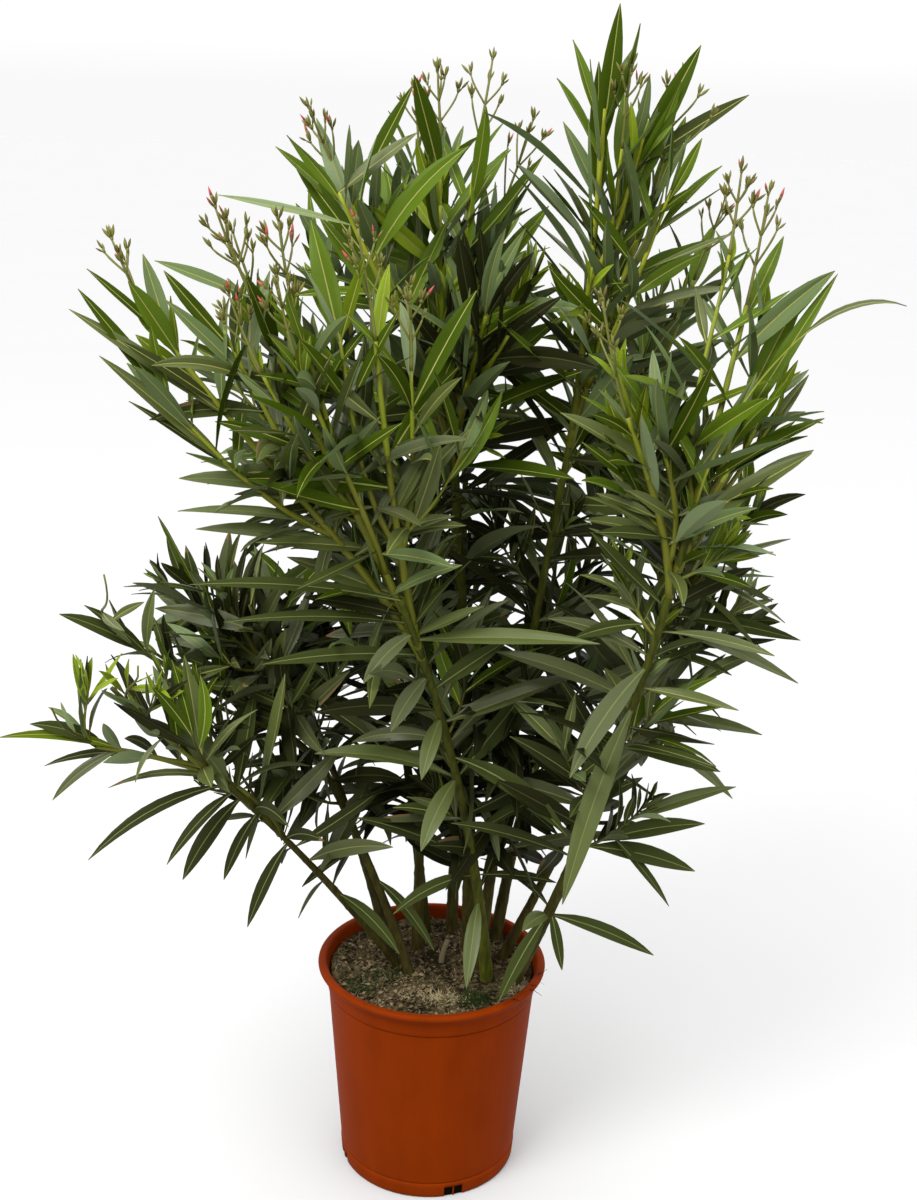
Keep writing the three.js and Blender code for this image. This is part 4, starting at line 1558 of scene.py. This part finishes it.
class OLEANDER_OT_soil(bpy.types.Operator):
    """Fill the pot with crumbly soil, grit, dry moss, green moss and straw"""

    bl_idname = "oleander.soil"
    bl_label = "Soil"

    def execute(self, context):
        body = Patchwork()
        add_soil_body(body)
        damp_and_shade = plain_material("soil_wet", shade(colours().soil_dark, 0.4), 1.0, 0.0)
        make_piece(body, "soil_bed", [soil_material(), damp_and_shade], ["soil"], 180)
        # Near-black soil set in the drainage notches so that they read as deep holes: painted shade. The
        # same dark finish covers the soil's hidden side and bottom.
        outer, inner = pot_foot() - 0.0016, pot_foot() - 0.0085
        plugs = notch_boxes(outer, inner, NOTCH_HALF_WIDTH - 0.0003, 0.0008, NOTCH_TOP - 0.0004)
        make_piece(plugs, "soil_in_notches", [damp_and_shade], crease=20)
        self.scatter_crumbs()
        self.scatter_fibres()
        return {"FINISHED"}

    @staticmethod
    def scatter_crumbs():
        rng = np.random.default_rng(CRUMB_SEED)
        soil, grit = colours().soil, colours().grit
        # The darkest crumbs stand for moist soil and for painted shade.
        tones = [shade(soil, 0.25), shade(soil, 0.9), shade(grit, 0.55), grit]
        names = ("crumb_damp", "crumb_brown", "crumb_grey", "grit_pale")
        materials = [plain_material(name, tone, 0.9, 0.05) for name, tone in zip(names, tones)]
        crumbs = Patchwork()
        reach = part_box("soil")[1].x - 0.004
        for _ in range(CRUMBS):
            radius = reach * math.sqrt(rng.random())
            turn = rng.uniform(0, FULL_TURN)
            x, y = radius * math.cos(turn), radius * math.sin(turn)
            z = float(soil_height(x, y))
            size = 0.0012 + 0.0034 * rng.random() ** 2.4
            # Painted shade: the crumbs grow darker towards the right (+x) and the back (+y) of the pot,
            # over uneven patches of drier and moister ones.
            dryness_and_light = 1.10 + 1.1 * float(rough(x, y, 9, 55)) - 4.0 * x - 2.0 * y
            slot = int(np.clip(round(dryness_and_light + rng.normal(0, 0.9)), 0, 3))
            add_crumb(crumbs, np.array((x, y, z + size * 0.25)), size, slot, rng)
        make_piece(crumbs, "soil_crumbs", materials, crease=75)

    @staticmethod
    def scatter_fibres():
        rng = np.random.default_rng(FIBRE_SEED)
        palette = colours()
        straw, moss = palette.straw, palette.moss
        materials = [
            plain_material("straw_pale", straw, 0.85),
            plain_material("straw_brown", shade(straw, 0.35), 0.85),
            plain_material("moss_green", moss, 0.8),
            plain_material("moss_dark", shade(moss, 0.4), 0.8),
            plain_material("root_dark", shade(straw, 0.06), 0.9, 0.05),
        ]
        fibres = Patchwork()
        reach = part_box("soil")[1].x - 0.006
        for count, middle, spread, blade_length, width, slots, rise in FIBRE_PATCHES:
            for _ in range(count):
                x, y = rng.normal(middle, spread)
                radius = math.hypot(x, y)
                if radius > reach:
                    x, y = x * reach / radius, y * reach / radius
                base = np.array((x, y, float(soil_height(x, y)) + 0.0005))
                aim = unit(np.append(rng.normal(0, 1, 2), rise * rng.uniform(0.3, 1.2)))
                own = blade_length * rng.uniform(0.5, 1.4)
                add_blade(fibres, base, aim, own, width, int(rng.choice(slots)), rng)
        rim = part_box("pot")[1]
        for heading in ROOT_HEADINGS:
            turn = math.radians(heading)
            out = np.array((math.cos(turn), math.sin(turn), 0.0))
            base = out * (rim.x - 0.008) + UP * (rim.z - 0.001)
            add_blade(fibres, base, unit(out + UP * 0.35), rng.uniform(0.014, 0.024), 0.0009, 4, rng)
        stub = smooth_line(STUB_LINE, len(STUB_RADII))
        add_tube(fibres, stub, STUB_RADII, 9, 1)
        make_piece(fibres, "soil_fibres", materials, crease=180)


class OLEANDER_OT_bark(bpy.types.Operator):
    """Give each stem its bark, with nodes, leaf scars and a flared foot"""

    bl_idname = "oleander.bark"
    bl_label = "Bark"

    def execute(self, context):
        stems, _ = grow()
        palette = colours()
        low, middle, high = palette.bark_low, palette.bark_middle, palette.bark_high
        woody = bark_material("oleander_bark", low, middle, high)
        sappy, dull = shade(high, 1.25, 0.05), shade(high, 0.85)
        green = bark_material("oleander_bark_green", sappy, blend(middle, high, 0.5), dull)
        for index, (name, stem) in enumerate(stems.items()):
            rng = np.random.default_rng(BARK_SEED + index)
            patchwork = Patchwork()
            self.add_bark(patchwork, stem, rng)
            finish = green if name in GREEN_STEMS else woody
            make_piece(patchwork, name.replace("stem_", "bark_"), [finish], [name], 180)
        return {"FINISHED"}

    @staticmethod
    def add_bark(patchwork, stem, rng):
        rooted = np.vstack([stem.line[0] - UP * 0.008, stem.line])
        total = line_length(rooted)
        count = max(60, int(total / 0.005))
        line = resampled(rooted, count)
        radii = np.interp(line[:, 2], stem.line[:, 2], stem.radii)
        slim = float(np.interp(stem.line[0, 2] + 0.05, stem.line[:, 2], stem.radii))
        radii = np.minimum(radii, slim + 0.35 * np.maximum(radii - slim, 0))
        sides = 18
        turn = even_turns(sides)
        far = np.linspace(0, total, count)
        relief = np.zeros((count, sides))
        for _ in range(5):
            waves = int(rng.integers(2, 7))
            phase, twist = rng.uniform(0, 6), rng.uniform(-25, 25)
            relief += 0.010 * np.sin(turn * waves + phase + far[:, None] * twist)
        node = sizes().internode * 1.15
        ring = np.exp(-((((far + rng.uniform(0, node)) % node) - node / 2) / 0.0022) ** 2)
        scars = np.floor(far / node)[:, None] * (math.pi / 3)
        scar = 0.5 + 0.5 * np.cos(3 * (turn[None] - scars))
        relief += 0.085 * ring[:, None] * scar + 0.02 * ring[:, None]
        relief += rng.normal(0, 0.012, (count, sides))
        radius = radii[:, None] * (sizes().stem_slimness + relief)
        add_rings(patchwork, line[:, None] + spokes(line, sides) * radius[..., None])


class OLEANDER_OT_leaves(bpy.types.Operator):
    """Grow every mass's leaves in whorls of three"""

    bl_idname = "oleander.leaves"
    bl_label = "Leaves"

    def execute(self, context):
        _, shoots = grow()
        outline = Outline()
        materials = leaf_materials()
        for index, mass in enumerate(mass_names()):
            rng = np.random.default_rng(LEAF_SEED + index)
            leaves = Leaves()
            own = [shoot for shoot in shoots if shoot.mass == mass]
            for shoot in own:
                leaves_of_shoot(leaves, shoot, rng)
            leaves.keep_to(outline)
            for leaf in REACHING_LEAVES.get(mass, ()):
                add_reaching_leaf(leaves, own, *leaf, rng)
            for row in LEAF_ROWS.get(mass, ()):
                add_leaf_row(leaves, own, *row, rng)
            for leaf in HANGING_LEAVES.get(mass, ()):
                add_leaf_from_height(leaves, own, *leaf, HANGING_DROOP, rng)
            faces, finish = leaf_faces(leaves)
            patchwork = Patchwork()
            patchwork.add(leaf_surface(leaves), faces, finish)
            replaced = [MASS_PREFIX + mass]
            make_piece(patchwork, "leaves_" + mass, materials, replaced, LEAF_CREASE)
        return {"FINISHED"}


class OLEANDER_OT_shoots(bpy.types.Operator):
    """Make the green shoots that carry the leaves above the stems' heads"""

    bl_idname = "oleander.shoots"
    bl_label = "Green shoots"

    def execute(self, context):
        _, shoots = grow()
        base = colours().shoot
        materials = [
            plain_material("shoot_shaded", shade(base, 0.25, 0.15), 0.5),
            plain_material("shoot_olive", shade(base, 0.6, 0.1), 0.5),
            plain_material("shoot_green", base, 0.45),
            plain_material("shoot_bright", shade(base, 1.3, 0.06), 0.42),
        ]
        rng = np.random.default_rng(SHOOT_SEED)
        patchwork = Patchwork()
        for shoot in shoots:
            if shoot.on_stem:
                continue
            line = resampled(shoot.line, max(6, int(line_length(shoot.line) / 0.013)))
            far = np.linspace(0, 1, len(line))
            pulse = 1 + 0.10 * (np.arange(len(line)) % 3 == 0)
            radii = shoot.radius * (1 - 0.48 * far) * pulse
            # Painted shade: shoots towards the back of the crown and below 1.15 m take darker tones, down
            # to shoot_shaded.
            inside = np.clip((line[:-1, 1] + 0.12) / 0.15, 0, 1) * (line[:-1, 2] < 1.15)
            tones = np.interp(line[:-1, 2], (0.75, 1.0, 1.3), (0.5, 1.5, 3)) - inside
            tones = np.clip(np.round(tones + rng.normal(0, 0.1)), 0, 3).astype(int)
            add_tube(patchwork, line, radii, 7, tones)
        make_piece(patchwork, "green_shoots", materials, crease=180)
        return {"FINISHED"}


class OLEANDER_OT_flowers(bpy.types.Operator):
    """Set the branched heads of flower buds on the shoots that bloom"""

    bl_idname = "oleander.flowers"
    bl_label = "Flower heads"

    def execute(self, context):
        _, shoots = grow()
        palette = colours()
        bud = palette.bud
        finishes = (bud, shade(bud, 0.62, 0.2), palette.bud_tip)
        buds_finish = [plain_material(name, c, 0.45) for name, c in zip(BUD_MATERIALS, finishes)]
        stalks, buds = Patchwork(), Patchwork()
        rng = np.random.default_rng(FLOWER_SEED)
        for shoot in shoots:
            if shoot.flowers > 0:
                aim = directions(shoot.line)[-1]
                add_flower_head(stalks, buds, shoot.line[-1], aim, rng, shoot.flowers)
        stalk_finish = [plain_material("flower_stalk", shade(bud, 0.9), 0.5)]
        make_piece(stalks, "flower_stalks", stalk_finish, crease=180)
        make_piece(buds, "flower_buds", buds_finish, crease=180)
        return {"FINISHED"}


class OLEANDER_OT_stage(bpy.types.Operator):
    """Lay a plain pale floor, light it softly and place the camera"""

    bl_idname = "oleander.stage"
    bl_label = "Stage"

    camera_distance = 1.9
    camera_height = 1.386
    camera_lens = 48.48
    camera_pitch = math.radians(17.53)
    camera_yaw = math.radians(0.64)
    camera_roll = math.radians(1.70)

    def execute(self, context):
        self.lay_floor()
        self.light_world(context.scene)
        self.add_light("key_light", (-1.5, -1.9, 3.3), 1.6, 140.0)
        self.add_light("fill_light", (2.4, -1.8, 2.2), 2.4, 20.0)
        self.place_camera(context.scene)
        return {"FINISHED"}

    @staticmethod
    def lay_floor():
        floor = Patchwork()
        turn = even_turns(96)
        ring = np.stack([np.cos(turn), np.sin(turn), 0 * turn], axis=1)
        rings = np.stack([ring * radius for radius in (0.02, 0.5, 2.0, 8.0, 40.0)])
        add_rings(floor, np.concatenate([rings, rings[::-1] - UP * 0.05]))
        mesh = floor.mesh("studio_floor")
        mesh.shade_flat()
        nodes = Nodes("studio_floor")
        base = colours().floor
        soft = nodes.noise(nodes.place(), 1.2, 2.0)
        tint = nodes.ramp(soft, [(0.3, shade(base, 0.99)), (0.7, base)])
        nodes.link(tint, nodes.shader.inputs["Base Color"])
        nodes.shader.inputs["Roughness"].default_value = 1.0
        nodes.shader.inputs["Specular IOR Level"].default_value = 0.0
        mesh.materials.append(nodes.material)
        piece = bpy.data.objects.new("studio_floor", mesh)
        bpy.context.scene.collection.objects.link(piece)

    @staticmethod
    def light_world(scene):
        world = bpy.data.worlds.new("studio_world")
        world.use_nodes = True
        tree = world.node_tree
        where = tree.nodes.new("ShaderNodeTexCoord")
        parts = tree.nodes.new("ShaderNodeSeparateXYZ")
        rise = tree.nodes.new("ShaderNodeMapRange")
        rise.inputs["From Min"].default_value = 0.0
        rise.inputs["From Max"].default_value = 1.0
        rise.inputs["To Min"].default_value = 0.95
        rise.inputs["To Max"].default_value = 3.20
        tree.links.new(where.outputs["Generated"], parts.inputs["Vector"])
        tree.links.new(parts.outputs["Z"], rise.inputs["Value"])
        background = tree.nodes["Background"]
        background.inputs["Color"].default_value = (1.0, 1.0, 1.0, 1.0)
        tree.links.new(rise.outputs["Result"], background.inputs["Strength"])
        scene.world = world
        scene.view_settings.view_transform = "Standard"

    @staticmethod
    def add_light(name, place, size, power):
        light = bpy.data.lights.new(name, "AREA")
        light.shape = "SQUARE"
        light.size = size
        light.energy = power
        lamp = bpy.data.objects.new(name, light)
        lamp.location = place
        aim = Vector((0, 0, 0.8)) - Vector(place)
        lamp.rotation_euler = aim.to_track_quat("-Z", "Y").to_euler()
        bpy.context.scene.collection.objects.link(lamp)

    def place_camera(self, scene):
        yaw, pitch, roll = self.camera_yaw, self.camera_pitch, self.camera_roll
        level = math.cos(pitch)
        ahead = Vector((math.sin(yaw) * level, math.cos(yaw) * level, -math.sin(pitch)))
        right = Vector((math.cos(yaw), -math.sin(yaw), 0))
        above = right.cross(ahead)
        tilted_right = right * math.cos(roll) + above * math.sin(roll)
        tilted_above = above * math.cos(roll) - right * math.sin(roll)
        camera = bpy.data.cameras.new("camera")
        camera.lens = self.camera_lens
        camera.sensor_width = 36.0
        camera.clip_end = 100.0
        holder = bpy.data.objects.new("camera", camera)
        axes = Matrix((tilted_right, tilted_above, -ahead)).transposed().to_4x4()
        holder.matrix_world = Matrix.Translation((0, -self.camera_distance, self.camera_height)) @ axes
        scene.collection.objects.link(holder)
        scene.camera = holder


OPERATORS = (
    OLEANDER_OT_stage,
    OLEANDER_OT_pot,
    OLEANDER_OT_soil,
    OLEANDER_OT_bark,
    OLEANDER_OT_leaves,
    OLEANDER_OT_shoots,
    OLEANDER_OT_flowers,
)


class OLEANDER_PT_panel(bpy.types.Panel):
    """Lists the operators and the sizes and colours that they use"""

    bl_idname = "OLEANDER_PT_panel"
    bl_label = "Potted Oleander"
    bl_space_type = "VIEW_3D"
    bl_region_type = "UI"
    bl_category = "Oleander"

    def draw(self, context):
        for operator in OPERATORS:
            self.layout.operator(operator.bl_idname)
        for settings in (context.scene.oleander_sizes, context.scene.oleander_colours):
            box = self.layout.box()
            for name in settings.__annotations__:
                box.prop(settings, name)


CLASSES = (OleanderSizes, OleanderColours, *OPERATORS, OLEANDER_PT_panel)


def register():
    for cls in CLASSES:
        bpy.utils.register_class(cls)
    bpy.types.Scene.oleander_sizes = PointerProperty(type=OleanderSizes)
    bpy.types.Scene.oleander_colours = PointerProperty(type=OleanderColours)


def unregister():
    del bpy.types.Scene.oleander_colours
    del bpy.types.Scene.oleander_sizes
    for cls in reversed(CLASSES):
        bpy.utils.unregister_class(cls)


def main():
    register()
    for operator in OPERATORS:
        group, name = operator.bl_idname.split(".")
        getattr(getattr(bpy.ops, group), name)()
    bpy.context.view_layer.update()


if __name__ == "__main__":
    main()
